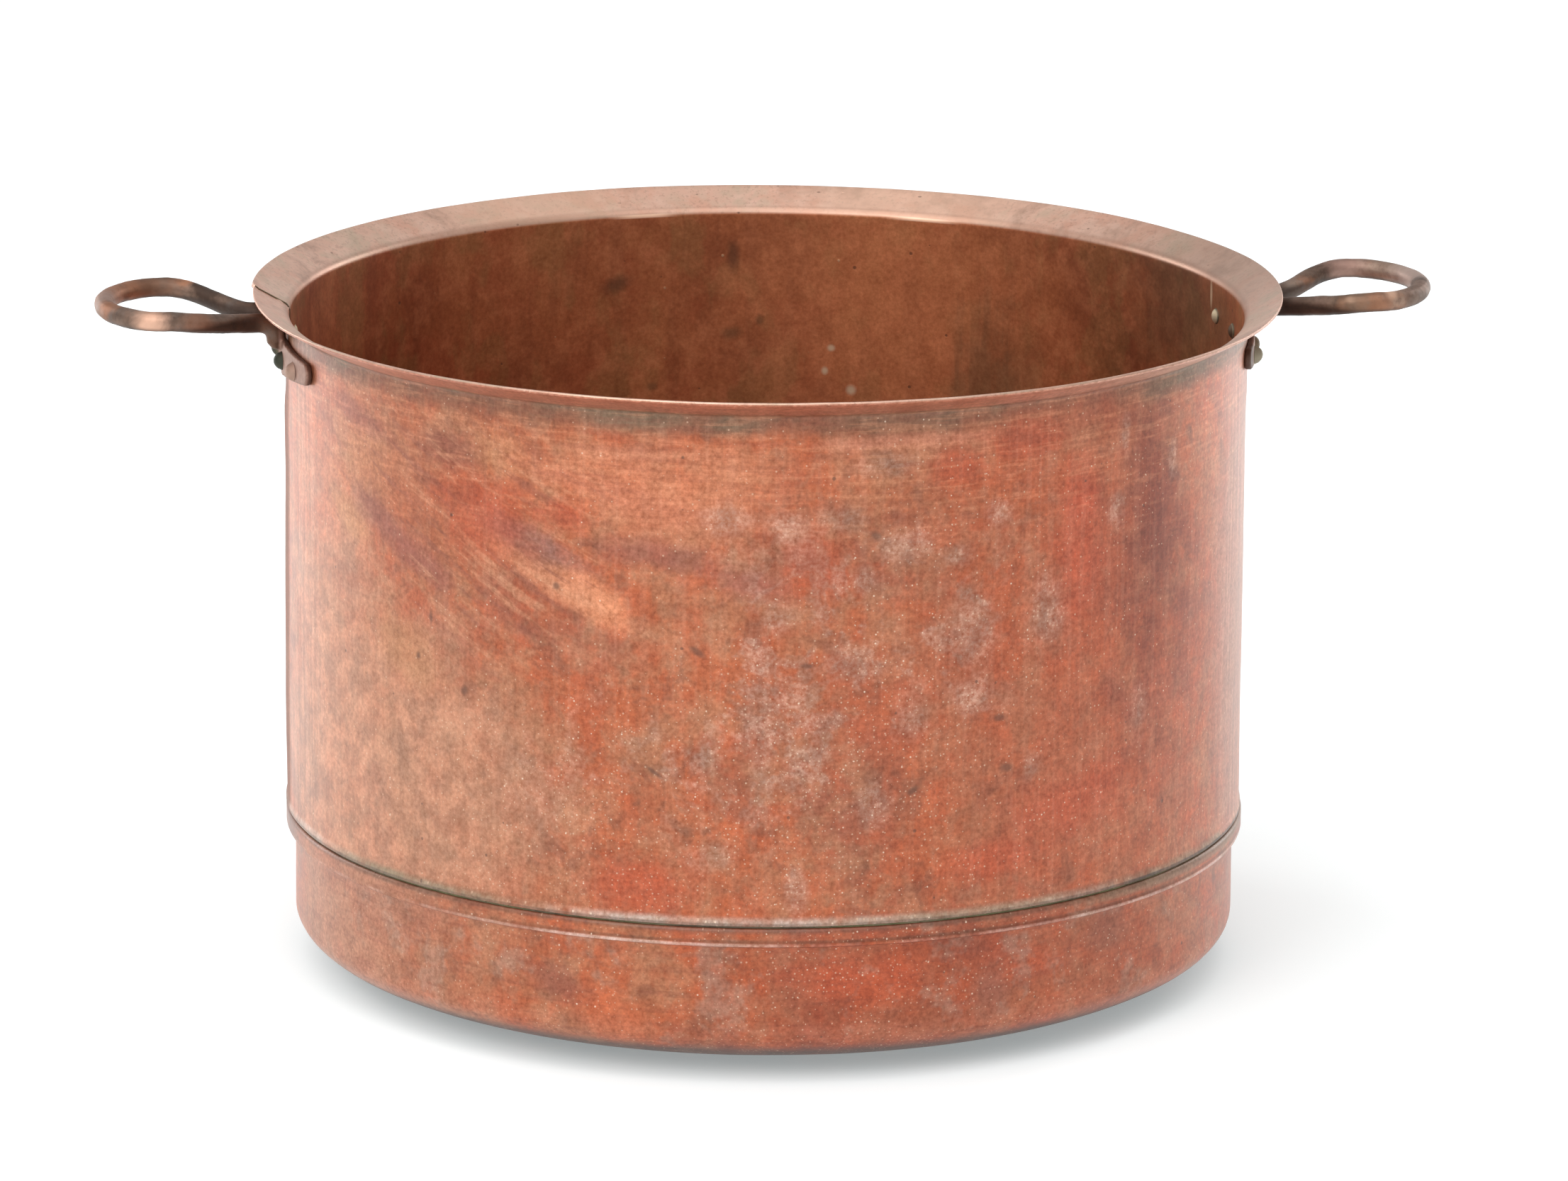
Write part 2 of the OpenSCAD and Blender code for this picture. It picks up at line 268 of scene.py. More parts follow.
overhead_power = 1.5
overhead_spread = math.radians(75)
overhead_lean = (math.radians(28), math.radians(-14), 0)
overhead = bpy.data.lights.new("overhead", "SUN")
overhead.energy = overhead_power
overhead.angle = overhead_spread
overhead_object = bpy.data.objects.new("overhead", overhead)
overhead_object.rotation_euler = overhead_lean
bpy.context.scene.collection.objects.link(overhead_object)


# ---------------------------------------------------------------------------------------
# Shell. One sheet of copper rolled to a drum, its ends lapped at the left and its upper
# edge turned out to a flared rim. It was planished by hand and has been scoured, dented
# and stained in use.
# ---------------------------------------------------------------------------------------
shell_low, shell_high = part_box("shell")
sheet = 0.002
wall_r = 0.280
bend_r = 0.004
flare_slope = math.radians(29)
lip_out = 0.0008
lip_h = 0.005
edge_r = shell_high.y - sheet / 2
edge_z = shell_high.z - sheet / 2
bend_mid_r = wall_r + bend_r
bend_outer_r = bend_r + sheet / 2
flare_length = (edge_r - bend_mid_r + bend_outer_r * math.sin(flare_slope)) / math.cos(flare_slope)
bend_mid_z = edge_z - bend_outer_r * math.cos(flare_slope) - flare_length * math.sin(flare_slope)
flare_normal = math.pi / 2 + flare_slope
turn_steps = 360
wall_steps, bend_steps, flare_steps, rim_steps = 62, 8, 6, 8
lip_curve = [(1.0, 0.3), (0.85, 0.5), (0.3, 0.78), (0.0, 1.0)]


def polar(middle, radius, angle):
    return (middle[0] + radius * math.cos(angle), middle[1] + radius * math.sin(angle))


def straight(start, end, steps):
    """Points from start up to, but not including, end."""
    return [tuple(a + (b - a) * i / steps for a, b in zip(start, end)) for i in range(steps)]


def sheet_face(depth):
    """The line of the sheet, from its lower edge to the rim, at a depth below its outer face.
    Outside it starts with the small lip, a curve in shares of the lip's width and height."""
    low_z = shell_low.z
    if depth == 0:
        line = straight((wall_r + lip_out, low_z), (wall_r + lip_out, low_z + lip_curve[0][1] * lip_h), 2)
        line += [(wall_r + out * lip_out, low_z + rise * lip_h) for out, rise in lip_curve]
        start = (wall_r, low_z + 1.4 * lip_h)
    else:
        line = []
        start = (wall_r - depth, low_z)
    line += straight(start, (wall_r - depth, bend_mid_z), wall_steps)
    bend_turn = math.pi / 2 - flare_slope
    bend = [polar((bend_mid_r, bend_mid_z), bend_r + depth, math.pi - i * bend_turn / bend_steps)
            for i in range(bend_steps + 1)]
    flare_end = polar((edge_r, edge_z), depth - sheet / 2, flare_normal)
    return line + bend[:-1] + straight(bend[-1], flare_end, flare_steps)


merge_below = 0.00002


def turned(name, section, steps):
    """Turns a closed section, a list of (radius, height), once round the vessel's axis."""
    bpy.ops.object.select_all(action="DESELECT")
    bpy.ops.mesh.primitive_circle_add(vertices=len(section), radius=0.1, fill_type="NOTHING")
    piece = bpy.context.object
    piece.name = piece.data.name = name
    for vertex, (radius, height) in zip(piece.data.vertices, section):
        vertex.co = (radius, 0, height)
    bpy.ops.object.mode_set(mode="EDIT")
    bpy.ops.mesh.select_all(action="SELECT")
    bpy.ops.mesh.spin(steps=steps, angle=2 * math.pi, center=(0, 0, 0), axis=(0, 0, 1))
    bpy.ops.mesh.select_all(action="SELECT")
    bpy.ops.mesh.remove_doubles(threshold=merge_below)
    bpy.ops.mesh.normals_make_consistent(inside=False)
    bpy.ops.object.mode_set(mode="OBJECT")
    return piece


def smooth(piece, angle=40):
    bpy.ops.object.select_all(action="DESELECT")
    piece.select_set(True)
    bpy.context.view_layer.objects.active = piece
    bpy.ops.object.shade_smooth_by_angle(angle=math.radians(angle))


def ease(value, low, high):
    """0 at low and 1 at high, in a soft step."""
    share = min(1.0, max(0.0, (value - low) / (high - low)))
    return share * share * (3 - 2 * share)


def ripple(point, scale, seed):
    """Smooth hills and hollows between -1 and 1."""
    return noise.noise(Vector(point) * scale + Vector((seed, 2.7 * seed, -1.3 * seed)))


def hills(point, waves):
    """Ripples of several sizes together, each given by its depth, scale and seed."""
    return sum(depth * ripple(point, scale, seed) for depth, scale, seed in waves)


# Dents and the rim's waves, and the calm parts by the handles' feet and the lower edge
shell_dents = [(0.0008, 8, 3), (0.00028, 24, 11), (0.00006, 75, 5)]
rim_inset, rim_inset_waves = 0.0005, [(0.0004, 3.1, 7)]
rim_drop, rim_drop_waves = 0.0006, [(0.0005, 2.3, 21), (0.0001, 14, 2)]
handles_end = (0.3, 0.42)
foot_clear_z = 0.346
calm_edge = 0.03

# The lap: the azimuths of the sheet's two ends, and those between which one end rises
# over the other, falls back to the wall and leaves its notch in the rim
inner_end, outer_end = 175, 171
lap_raise, flare_raise = 0.0009, 0.8
lap_step = 0.06
inner_rise, outer_fall = (148, 172), (174, 196)
notch, notch_fall = 0.0013, (178, 205)


def worked(azimuth, radius, height, inside):
    """Where the hammer, the lap and long use have put a point of the sheet."""
    column = round(azimuth) % 360
    if inside and column == inner_end - 1:
        azimuth = inner_end - lap_step
    if not inside and column == outer_end + 1:
        azimuth = outer_end + lap_step
    angle = math.radians(azimuth)
    along = (math.cos(angle) * wall_r, math.sin(angle) * wall_r, height)
    on_flare = ease(height, bend_mid_z - 0.01, edge_z)
    near_handles = 1 - ease(abs(math.sin(angle)), *handles_end)
    calm = 1 - on_flare
    calm *= 1 - near_handles * ease(height, foot_clear_z - 0.012, foot_clear_z)
    calm *= ease(height, shell_low.z, shell_low.z + calm_edge)
    radius += hills(along, shell_dents) * calm
    rim_along = (math.cos(angle), math.sin(angle), 0)
    radius -= on_flare * (rim_inset + hills(rim_along, rim_inset_waves))
    height -= on_flare * (rim_drop + hills(rim_along, rim_drop_waves))
    if inside:
        raised = lap_raise * ease(azimuth, *inner_rise) * (azimuth < inner_end)
        radius -= raised * (1 - on_flare)
        height += raised * flare_raise * on_flare
    else:
        raised = lap_raise * (1 - ease(azimuth, *outer_fall)) * (azimuth > outer_end)
        radius += raised * (1 - ease(height, foot_clear_z - 0.02, foot_clear_z))
    notched = notch * (1 - ease(azimuth, *notch_fall)) * (azimuth > inner_end - 0.5)
    radius -= notched * ease(radius, edge_r - 0.004, edge_r)
    return azimuth, radius, height


def lies_inside(radius, height):
    """True for a point on the inner face of the sheet, in the wall, the bend or the flare."""
    if height < bend_mid_z:
        return radius < wall_r - sheet / 2
    from_bend, over_bend = radius - bend_mid_r, height - bend_mid_z
    if from_bend * math.cos(flare_slope) + over_bend * math.sin(flare_slope) > 0:
        return (height - edge_z) * math.cos(flare_slope) > (radius - edge_r) * math.sin(flare_slope)
    return math.hypot(from_bend, over_bend) > bend_outer_r


outer_line = sheet_face(0)
inner_line = sheet_face(sheet)
rim_edge = [polar((edge_r, edge_z), sheet / 2, flare_normal - math.pi + i * math.pi / rim_steps)
            for i in range(rim_steps + 1)]
shell = turned("copper_shell", outer_line + rim_edge + inner_line[::-1], turn_steps)
for vertex in shell.data.vertices:
    x, y, z = vertex.co
    radius = math.hypot(x, y)
    azimuth = math.degrees(math.atan2(y, x)) % 360
    azimuth, radius, z = worked(azimuth, radius, z, lies_inside(radius, z))
    angle = math.radians(azimuth)
    vertex.co = (radius * math.cos(angle), radius * math.sin(angle), z)
smooth(shell)


def radius_of(finish):
    """Distance of the place on the piece from the vessel's axis."""
    level = finish.node("VectorMath", {"operation": "MULTIPLY"}, {0: finish.place, 1: (1, 1, 0)})
    return finish.node("VectorMath", {"operation": "LENGTH"}, {0: level}, "Value")


def height_of(finish):
    return finish.node("SeparateXYZ", {}, {0: finish.place}, "Z")


def laid_flat(finish, cut):
    """The sheet unrolled: across is the way round, up is the way over wall, bend and flare.
    The pattern starts and ends at the azimuth of the cut, where the sheet itself does."""
    wires = {"Vector": finish.place, "Rotation": (0, 0, math.radians(180 - cut))}
    x, y = finish.node("SeparateXYZ", {}, {0: finish.node("Mapping", {}, wires)}, ("X", "Y"))
    across = y.math("ARCTAN2", y, x) * wall_r
    return finish.node("CombineXYZ", {}, {0: across, 1: radius_of(finish) + height_of(finish)})


stain_depth = 0.44


def set_on_wall(azimuth, height, tilt):
    """A place on the wall, and the turn that lays a pattern on it."""
    angle = math.radians(azimuth)
    return (wall_r * math.cos(angle), wall_r * math.sin(angle), height), (math.radians(-tilt), 0, angle)


def patch(finish, azimuth, height, width, tall, ragged=None, soft=0.8, tilt=0):
    """A stain on the wall: 1 in its middle, 0 outside. A tilt turns it so that it runs down
    to the right; azimuth and tilt are in degrees."""
    nearness = finish.ball(*set_on_wall(azimuth, height, tilt), (stain_depth, width, tall))
    if ragged is not None:
        nearness = nearness + ragged
    return nearness.between(0.5, 0.5 + 0.5 * soft)


def patches(finish, marks, ragged=None, soft=0.8):
    """Several patches as one mask, each given by azimuth, height, width and tallness, and
    then a tilt where it has one."""
    masks = [patch(finish, azimuth, up_z, wide, tall, ragged, soft, *tilt)
             for azimuth, up_z, wide, tall, *tilt in marks]
    return sum(masks[1:], masks[0]).clamp()


def stains(finish, marks, share, ragged, soft=0.8, tone=None):
    """Lays one stain for each mark: azimuth, height, width and tallness, and then its tilt
    and its tone where it has its own."""
    for azimuth, up_z, wide, tall, *own in marks:
        tilt, own_tone = own + [0, tone][len(own):]
        finish.lay(patch(finish, azimuth, up_z, wide, tall, ragged, soft, tilt) * share, own_tone)


def specks(finish, flat, density, cell, seed, size, soft):
    """Scattered round specks: a cell of the pattern holds one where its own number is low."""
    wires = {"Vector": finish.node("Mapping", {}, {"Vector": flat, "Location": (seed, seed, 0)}),
             "Scale": 1 / cell}
    settings = {"voronoi_dimensions": "2D"}
    distance, numbers = finish.node("TexVoronoi", settings, wires, ("Distance", "Color"))
    number, large = finish.node("SeparateColor", {}, {0: numbers}, ("Red", "Green"))
    return (large * size[1] + size[0] - distance).between(0.0, soft) * (density - number).between(0.0, 0.02)


def sheet_patterns(finish, cut):
    """What the stains of a sheet share: its height, the sheet laid flat, fine clouds, grain,
    and the ragged and the broad clouds that break up the edges of a stain."""
    height = height_of(finish)
    flat = laid_flat(finish, cut)
    fine = finish.clouds(70, 3.0, 0.65)
    grain = finish.clouds(400, 2.0, 0.7)
    ragged = (finish.clouds(28, 4.0, 0.7) - 0.5) * 0.75
    broad = (finish.clouds(7, 3.0, 0.6) - 0.5) * 0.75
    return height, flat, fine, grain, ragged, broad


def aged_copper(finish, seed):
    """Old copper, from wide clouds to small mottles: orange red where it was wiped last,
    tan, brown and grey where it was not."""
    finish.colour = finish.ramp(finish.clouds(9, 4.0, 0.65, finish.moved(seed, 0, 2), 0.5),
                                (0.36, (158, 88, 62)), (0.50, (184, 94, 54)), (0.64, (176, 110, 76)))
    tan = finish.clouds(34, 3.0, 0.6, finish.moved(seed, 3, 1), 0.3).between(0.44, 0.62)
    finish.lay(tan * 0.65, (178, 118, 84))
    red = finish.clouds(52, 3.0, 0.6, finish.moved(1, seed, 5), 0.3).between(0.46, 0.64)
    finish.lay(red * 0.36, (188, 86, 48))
    grey = finish.clouds(95, 3.0, 0.6, finish.moved(4, 7, seed), 0.3).between(0.49, 0.64)
    finish.lay(grey * 0.30, (164, 120, 92))
    brown = finish.clouds(48, 3.0, 0.65, finish.moved(seed, seed, 8), 0.4).between(0.53, 0.68)
    finish.lay(brown * 0.50, (126, 74, 52))


def mottled(finish, fine, grain, share=1.0):
    """Small light and dark mottles over whatever lies below."""
    mottle = ((fine - 0.5) * 0.62 + (grain - 0.5) * 0.9) * share + 0.5
    shade = finish.mix(mottle, (0.4, 0.2, 0.0, 1.0), (1.6, 1.8, 2.0, 1.0))
    finish.colour = finish.mix(1.0, finish.colour, shade, "MULTIPLY")


def limed(finish, flat, fine, field, seeds, lime_tone, dust_tone):
    """Splashes of lime and lime dust, thick where the field and the fine clouds are high,
    and dark pits all over. Gives back the lime and the pits."""
    gathered = fine.between(0.44, 0.60)
    lime = specks(finish, flat, field * (0.2 + gathered * 1.5), 0.0055, seeds[0], (0.03, 0.11), 0.10)
    dusty = (field * 2.0 + 0.06) * (0.3 + gathered * 1.6)
    dust = specks(finish, flat, dusty, 0.0033, seeds[1], (0.08, 0.16), 0.16)
    pits = specks(finish, flat, 0.05, 0.012, seeds[2], (0.03, 0.09), 0.06)
    finish.lay(dust * 0.6, dust_tone)
    finish.lay(lime * 0.75, lime_tone)
    finish.lay(pits * 0.6, (84, 58, 46))
    return lime, pits


old_polish = {"Coat_Weight": 0.6, "Coat_Roughness": 0.34, "Specular_IOR_Level": 0.4}
outside = Finish("shell_copper_outside", **old_polish)
shell_z, flat, fine, grain, ragged, broad = sheet_patterns(outside, outer_end)
shell_r = radius_of(outside)
aged_copper(outside, 3.1)

# Scoured, paler copper low at the left, and tan where the scouring ran up to the rim
pale = (patch(outside, 203, 0.165, 0.30, 0.39, broad)
        + patch(outside, 228, 0.16, 0.16, 0.16, broad, 0.9) * 0.4).clamp()
pale_tone = outside.ramp(fine, (0.40, (180, 132, 105)), (0.60, (206, 148, 116)))
outside.lay(pale * (0.72 + ragged * 0.6), pale_tone)
tans = [(210.5, 0.330, 0.10, 0.085), (206, 0.300, 0.08, 0.03, 20), (232, 0.353, 0.06, 0.035, 10),
        (217, 0.232, 0.10, 0.05, 30)]
stains(outside, tans, 0.6, ragged, tone=(192, 134, 92))

# Sweeps of a rag that run down to the right: brown and purple smears, and bright rubs; the
# brightest, low at the left of the middle, is also a painted highlight
smears = [(214.3, 0.300, 0.115, 0.034, 25, (142, 80, 68)), (220, 0.288, 0.07, 0.028, 28, (150, 86, 72)),
          (236, 0.3065, 0.092, 0.030, 19, (150, 104, 94)), (219, 0.318, 0.13, 0.08, 20, (174, 94, 58)),
          (224.5, 0.3535, 0.066, 0.030, 8, (136, 74, 56)), (209, 0.3575, 0.09, 0.022, 14, (150, 80, 62)),
          (251, 0.3065, 0.10, 0.026, 6, (150, 86, 70)), (262, 0.292, 0.08, 0.03, 10, (160, 92, 76))]
stains(outside, smears, 0.7, ragged, 0.75)
# Bright rubs; the one at 244.5 degrees is partly a painted highlight
rubs_and_highlight = [(252, 0.345, 0.27, 0.08, 4, (208, 126, 88)), (244.5, 0.2752, 0.085, 0.034, 27, (242, 158, 112)),
        (238, 0.288, 0.13, 0.026, 24, (206, 136, 100)), (249, 0.3635, 0.13, 0.013, 1, (206, 132, 98)),
        (243, 0.345, 0.12, 0.018, 8, (200, 118, 84)), (252, 0.333, 0.10, 0.03, 14, (196, 116, 82)),
        (283, 0.371, 0.20, 0.012, 0, (200, 128, 98))]
stains(outside, rubs_and_highlight, 0.7, ragged)
sweep_size = (0.3, 0.08, 0.009)
swept = outside.clouds(1.0, 4.0, 0.65, outside.laid_at(*set_on_wall(226, 0.31, 26), sweep_size))
swept_zone = patch(outside, 226, 0.305, 0.34, 0.19, broad, tilt=8)
outside.lay(swept_zone * swept.between(0.52, 0.66) * 0.5, (212, 150, 114))
outside.lay(swept_zone * swept.between(0.48, 0.36) * 0.55, (140, 78, 60))

# Deeper red towards the right, with a purple brown strip before the right edge
deep = patch(outside, 303, 0.24, 0.34, 0.50, broad, 0.9)
outside.lay(deep * 0.5, outside.mix(fine, (164, 74, 48), (180, 88, 58)))
reds = [(229.5, 0.318, 0.10, 0.07), (286.3, 0.3545, 0.05, 0.03), (302.6, 0.336, 0.05, 0.06),
        (295, 0.366, 0.075, 0.034), (301, 0.150, 0.13, 0.06), (290, 0.125, 0.09, 0.03),
        (303, 0.30, 0.05, 0.12), (269.5, 0.3, 0.05, 0.06), (249, 0.116, 0.09, 0.04),
        (240, 0.325, 0.06, 0.03)]
stains(outside, reds, 0.55, ragged, 0.85, (190, 78, 44))
plum = patch(outside, 315.5, 0.285, 0.11, 0.30, ragged * 1.2 - 0.05, 0.9)
outside.lay(plum * 0.8, (120, 48, 28))
dusty = patch(outside, 342, 0.24, 0.15, 0.5, broad * 0.5)
outside.lay(dusty * 0.7, (170, 122, 104))

# Grey bloom: a veil in broken clouds, and separate marks the size of a thumb
veil = patches(outside, [(276, 0.27, 0.34, 0.24), (258, 0.18, 0.24, 0.14)], broad)
bloom_clouds = outside.clouds(22, 4.0, 0.75, outside.moved(1.9, 8.2, 3.3), 0.4)
bloom = bloom_clouds.between(0.50, 0.60) * veil * 0.65
thumb_marks = [(266.3, 0.326, 0.030, 0.024), (260.0, 0.3276, 0.036, 0.022), (319.1, 0.338, 0.012, 0.030),
               (281.3, 0.2135, 0.028, 0.040), (276.3, 0.166, 0.026, 0.034), (279.4, 0.312, 0.040, 0.026),
               (272.7, 0.329, 0.034, 0.022), (278.4, 0.358, 0.036, 0.016), (291.6, 0.327, 0.026, 0.022),
               (313.3, 0.194, 0.022, 0.040), (308.5, 0.316, 0.020, 0.030), (310.0, 0.359, 0.010, 0.030),
               (265.3, 0.2713, 0.024, 0.026), (286.4, 0.303, 0.022, 0.016), (275.3, 0.2933, 0.020, 0.020),
               (269, 0.191, 0.034, 0.018), (263.6, 0.185, 0.018, 0.026), (267.6, 0.1143, 0.016, 0.030),
               (296.3, 0.176, 0.022, 0.024), (287.5, 0.222, 0.034, 0.026), (251.2, 0.206, 0.016, 0.022),
               (257, 0.190, 0.024, 0.022), (258.5, 0.135, 0.036, 0.024), (298, 0.268, 0.026, 0.05),
               (288.5, 0.262, 0.034, 0.05), (274, 0.246, 0.04, 0.03)]
mark_growth = 1.15
for azimuth, up_z, wide, tall in thumb_marks:
    mark = patch(outside, azimuth, up_z, wide * mark_growth, tall * mark_growth, ragged * 1.1, 0.9)
    bloom = bloom + mark * 0.75
bloom = (bloom * (grain * 3.0 - 0.6)).clamp()
outside.lay(bloom * 0.62, outside.mix(fine.between(0.44, 0.60), (158, 124, 106), (192, 152, 130)))

# The underside of the rim, and the grimy line with a hint of green where it bends
under_flare = shell_r.between(wall_r + 0.0015, wall_r + 0.004)
outside.lay(under_flare * 0.75, (196, 130, 104))
light_rim = patch(outside, 322, 0.385, 0.46, 0.3, broad * 0.5, 0.9) * under_flare
outside.lay(light_rim * 0.7, (214, 170, 148))
grime = shell_z.between(bend_mid_z - 0.014, bend_mid_z - 0.002)
grime = grime * shell_r.between(wall_r + 0.004, wall_r + 0.0015)
wiped_red = patch(outside, 299, 0.374, 0.16, 0.04, ragged * 0.6)
grime = (grime * (0.74 + ragged * 0.7 - wiped_red * 0.5)).clamp()
outside.lay(grime * 0.85, (112, 80, 58))
green = outside.clouds(12, 3.0, 0.6, outside.moved(2, 2, 2)).between(0.46, 0.58) * grime
outside.lay(green * 0.6, (116, 112, 88))
outside.lay(wiped_red * 0.5, (160, 74, 44))

# The foot: solder was smeared over the lower edge in places, and lies there grey and beige
foot_edge_z = shell_low.z
smeared = outside.clouds(8, 2.0, 0.5, outside.moved(6, 1, 4)).between(0.38, 0.54)
smear = shell_z.between(foot_edge_z + 0.0064, foot_edge_z + 0.0020)
smear = (smear * (0.18 + smeared * 0.75 + ragged * 2.4 + (fine - 0.5) * 1.6)).clamp()
smear_tone = outside.ramp(outside.clouds(5, 2.0, 0.5, outside.moved(3, 3, 9)), (0.42, (190, 170, 156)),
                          (0.50, (172, 148, 126)), (0.58, (142, 128, 102)))
right_foot_dirt = patch(outside, 332, foot_edge_z, 0.38, 0.5, None, 0.7)
smear_tone = outside.mix(right_foot_dirt * 0.85, smear_tone, (142, 120, 94))
outside.lay(smear * 0.85, smear_tone)
edge_dirt = shell_z.between(foot_edge_z + 0.0022, foot_edge_z + 0.0010)
outside.lay(edge_dirt * (0.45 + ragged * 1.4 + right_foot_dirt * 0.4).clamp(), (66, 54, 42))

# Fine marks: streaks down both edges, rubbed lines round the drum, lime specks and pits
edges = (patch(outside, 344, 0.24, 0.12, 0.6, None, 0.6) + patch(outside, 186, 0.24, 0.14, 0.6, None, 0.6)
         + 0.35).clamp()
streaks = outside.drawn_out(flat, (230, 6))
outside.lay(streaks.between(0.48, 0.66) * edges * 0.3, (206, 150, 124))
outside.lay(streaks.between(0.50, 0.34) * edges * 0.3, (130, 84, 66))
lines_round = outside.drawn_out(flat, (24, 300))
high_up = (shell_z.between(0.29, 0.36) * 0.17 + 0.06) * (1 - pale * 0.8)
outside.lay(lines_round.between(0.50, 0.64) * high_up, (146, 76, 54))
outside.lay(lines_round.between(0.48, 0.34) * high_up, (222, 150, 112))
mottled(outside, fine, grain, 1 - pale * 0.25)
field = (patch(outside, 259, 0.155, 0.40, 0.22, broad, 0.9) * 0.42
         + patch(outside, 290, 0.25, 0.40, 0.40, broad, 0.9) * 0.16 + 0.03)
lime, pits = limed(outside, flat, fine, field, (1.3, 5.7, 9.1), (240, 216, 192), (226, 188, 160))
scars = [(256.3, 0.252, 0.014, 0.006, 35), (268.8, 0.245, 0.012, 0.005), (291.9, 0.2076, 0.012, 0.006),
         (281.2, 0.1705, 0.011, 0.006, -35), (251.2, 0.182, 0.02, 0.004, 35), (239.4, 0.284, 0.006, 0.006),
         (221.7, 0.2535, 0.004, 0.012), (226.8, 0.2145, 0.007, 0.008), (219.6, 0.229, 0.005, 0.006),
         (293, 0.178, 0.014, 0.008), (276.5, 0.318, 0.012, 0.008, 40)]
stains(outside, scars, 0.65, ragged * 0.6, tone=(96, 62, 48))

# Along the lap at the far left the wall is painted dark: a painted dark reflection down the
# left edge, where the wall turns away, and the coat of polish is made thinner there
lap_edge_painted_dark = patch(outside, 178, 0.24, 0.068, 0.9, streaks * 0.2 - 0.1, 0.4)
outside.lay(lap_edge_painted_dark * 0.6, (108, 76, 62))
outside.feed(outside.shader.inputs["Coat Weight"], old_polish["Coat_Weight"] - lap_edge_painted_dark * 0.35)
dull = (bloom * 0.7 + grime * 0.7 + smear * 0.7 + lime * 0.8 + lap_edge_painted_dark).clamp()
outside.surface(outside.blend(dull, outside.blend(pale, 0.50, 0.44) + (fine - 0.5) * 0.16, 0.75),
                outside.blend(dull, 0.85, 0.25), fine * 0.08 + grain * 0.04 + lime * 0.1 - pits * 0.12)

# The inside was never scoured: brown and red under water streaks and a thin greenish film
inner = Finish("shell_copper_inside", Coat_Weight=0.5, Coat_Roughness=0.4, Specular_IOR_Level=0.4)
inner_z = height_of(inner)
inner_flat = laid_flat(inner, inner_end)
inner_fine = inner.clouds(70, 3.0, 0.65)
inner_grain = inner.clouds(400, 2.0, 0.7)
inner_ragged = (inner.clouds(20, 4.0, 0.7) - 0.5) * 0.7
inner.colour = inner.ramp(inner.clouds(7, 5.0, 0.68, warp=0.5), (0.34, (134, 70, 42)),
                          (0.50, (166, 95, 58)), (0.64, (178, 112, 70)))
inner_red = inner.clouds(26, 4.0, 0.65, inner.moved(2, 5, 1), 0.3).between(0.48, 0.64)
inner.lay(inner_red * 0.5, (164, 84, 52))
water_streaks = inner.drawn_out(inner_flat, (60, 5.0), detail=4.0)
inner.lay(water_streaks.between(0.50, 0.66) * 0.35, (128, 68, 42))
film = inner.drawn_out(inner_flat, (22, 14.0), (3, 3, 0), 4.0)
inner.lay(film.between(0.50, 0.62) * 0.35, (142, 112, 68))
inner.lay(inner_fine.between(0.46, 0.64) * 0.35, (186, 116, 78))
# Painted light: the inner wall at the right back is painted lighter, where the light from the front left
# falls on it
lit_inner_wall_painted = (patch(inner, 66, 0.34, 0.38, 0.30, inner_ragged * 0.4, 0.9)
         + patch(inner, 113, 0.33, 0.26, 0.30, inner_ragged * 0.4, 0.9) * 0.4).clamp()
inner.lay(lit_inner_wall_painted * 0.55, (214, 134, 88))
dark_edge = inner_ragged * 1.1 + water_streaks * 0.7 - 0.35
dark_stain = (patch(inner, 55.5, 0.285, 0.066, 0.13, dark_edge)
              + patch(inner, 49.5, 0.295, 0.05, 0.10, inner_ragged * 1.3, 0.9) * 0.6).clamp()
inner.lay(dark_stain * 0.5, (98, 78, 52))
# Painted shade: a dark olive patch high at the far right of the inside, where it lies in shade
far_right_painted_shade = patch(inner, 18, 0.36, 0.20, 0.16, inner_ragged)
inner.lay(far_right_painted_shade * 0.6, (96, 72, 46))
inner_spots = (patch(inner, 84.8, 0.3189, 0.008, 0.010) + patch(inner, 98.5, 0.2784, 0.010, 0.008)
               + patch(inner, 88.4, 0.3105, 0.02, 0.014, inner_ragged)).clamp()
inner.lay(inner_spots * 0.5, (92, 70, 44))
mottled(inner, inner_fine, inner_grain, 0.65)
dark_drips = patches(inner, [(88.2, 0.3595, 0.012, 0.03), (103.3, 0.344, 0.03, 0.016, 20)],
                     inner_ragged * 0.6)
inner.lay(dark_drips * 0.6, (80, 52, 36))
light_drips = patches(inner, [(73.1, 0.276, 0.009, 0.009), (76.5, 0.2875, 0.006, 0.007),
                              (75.7, 0.302, 0.007, 0.006), (12.6, 0.3780, 0.005, 0.024)])
inner.lay(light_drips * 0.8, (214, 190, 160))
inner_lime = specks(inner, inner_flat, 0.03, 0.018, 3.3, (0.03, 0.05), 0.04)
inner.lay(inner_lime * 0.6, (206, 176, 140))
inner_pits = specks(inner, inner_flat, 0.06, 0.012, 8.8, (0.03, 0.10), 0.06)
inner.lay(inner_pits * 0.6, (72, 48, 34))

# The top of the flare is painted far paler than the inside: a painted reflection of the
# bright light above on the upturned rim, with blotches and pits of its own. The bend below
# it is painted darker, a painted shade, with a painted highlight in two places
flare_top = inner_z.between(bend_mid_z + 0.0004, bend_mid_z + 0.0020)
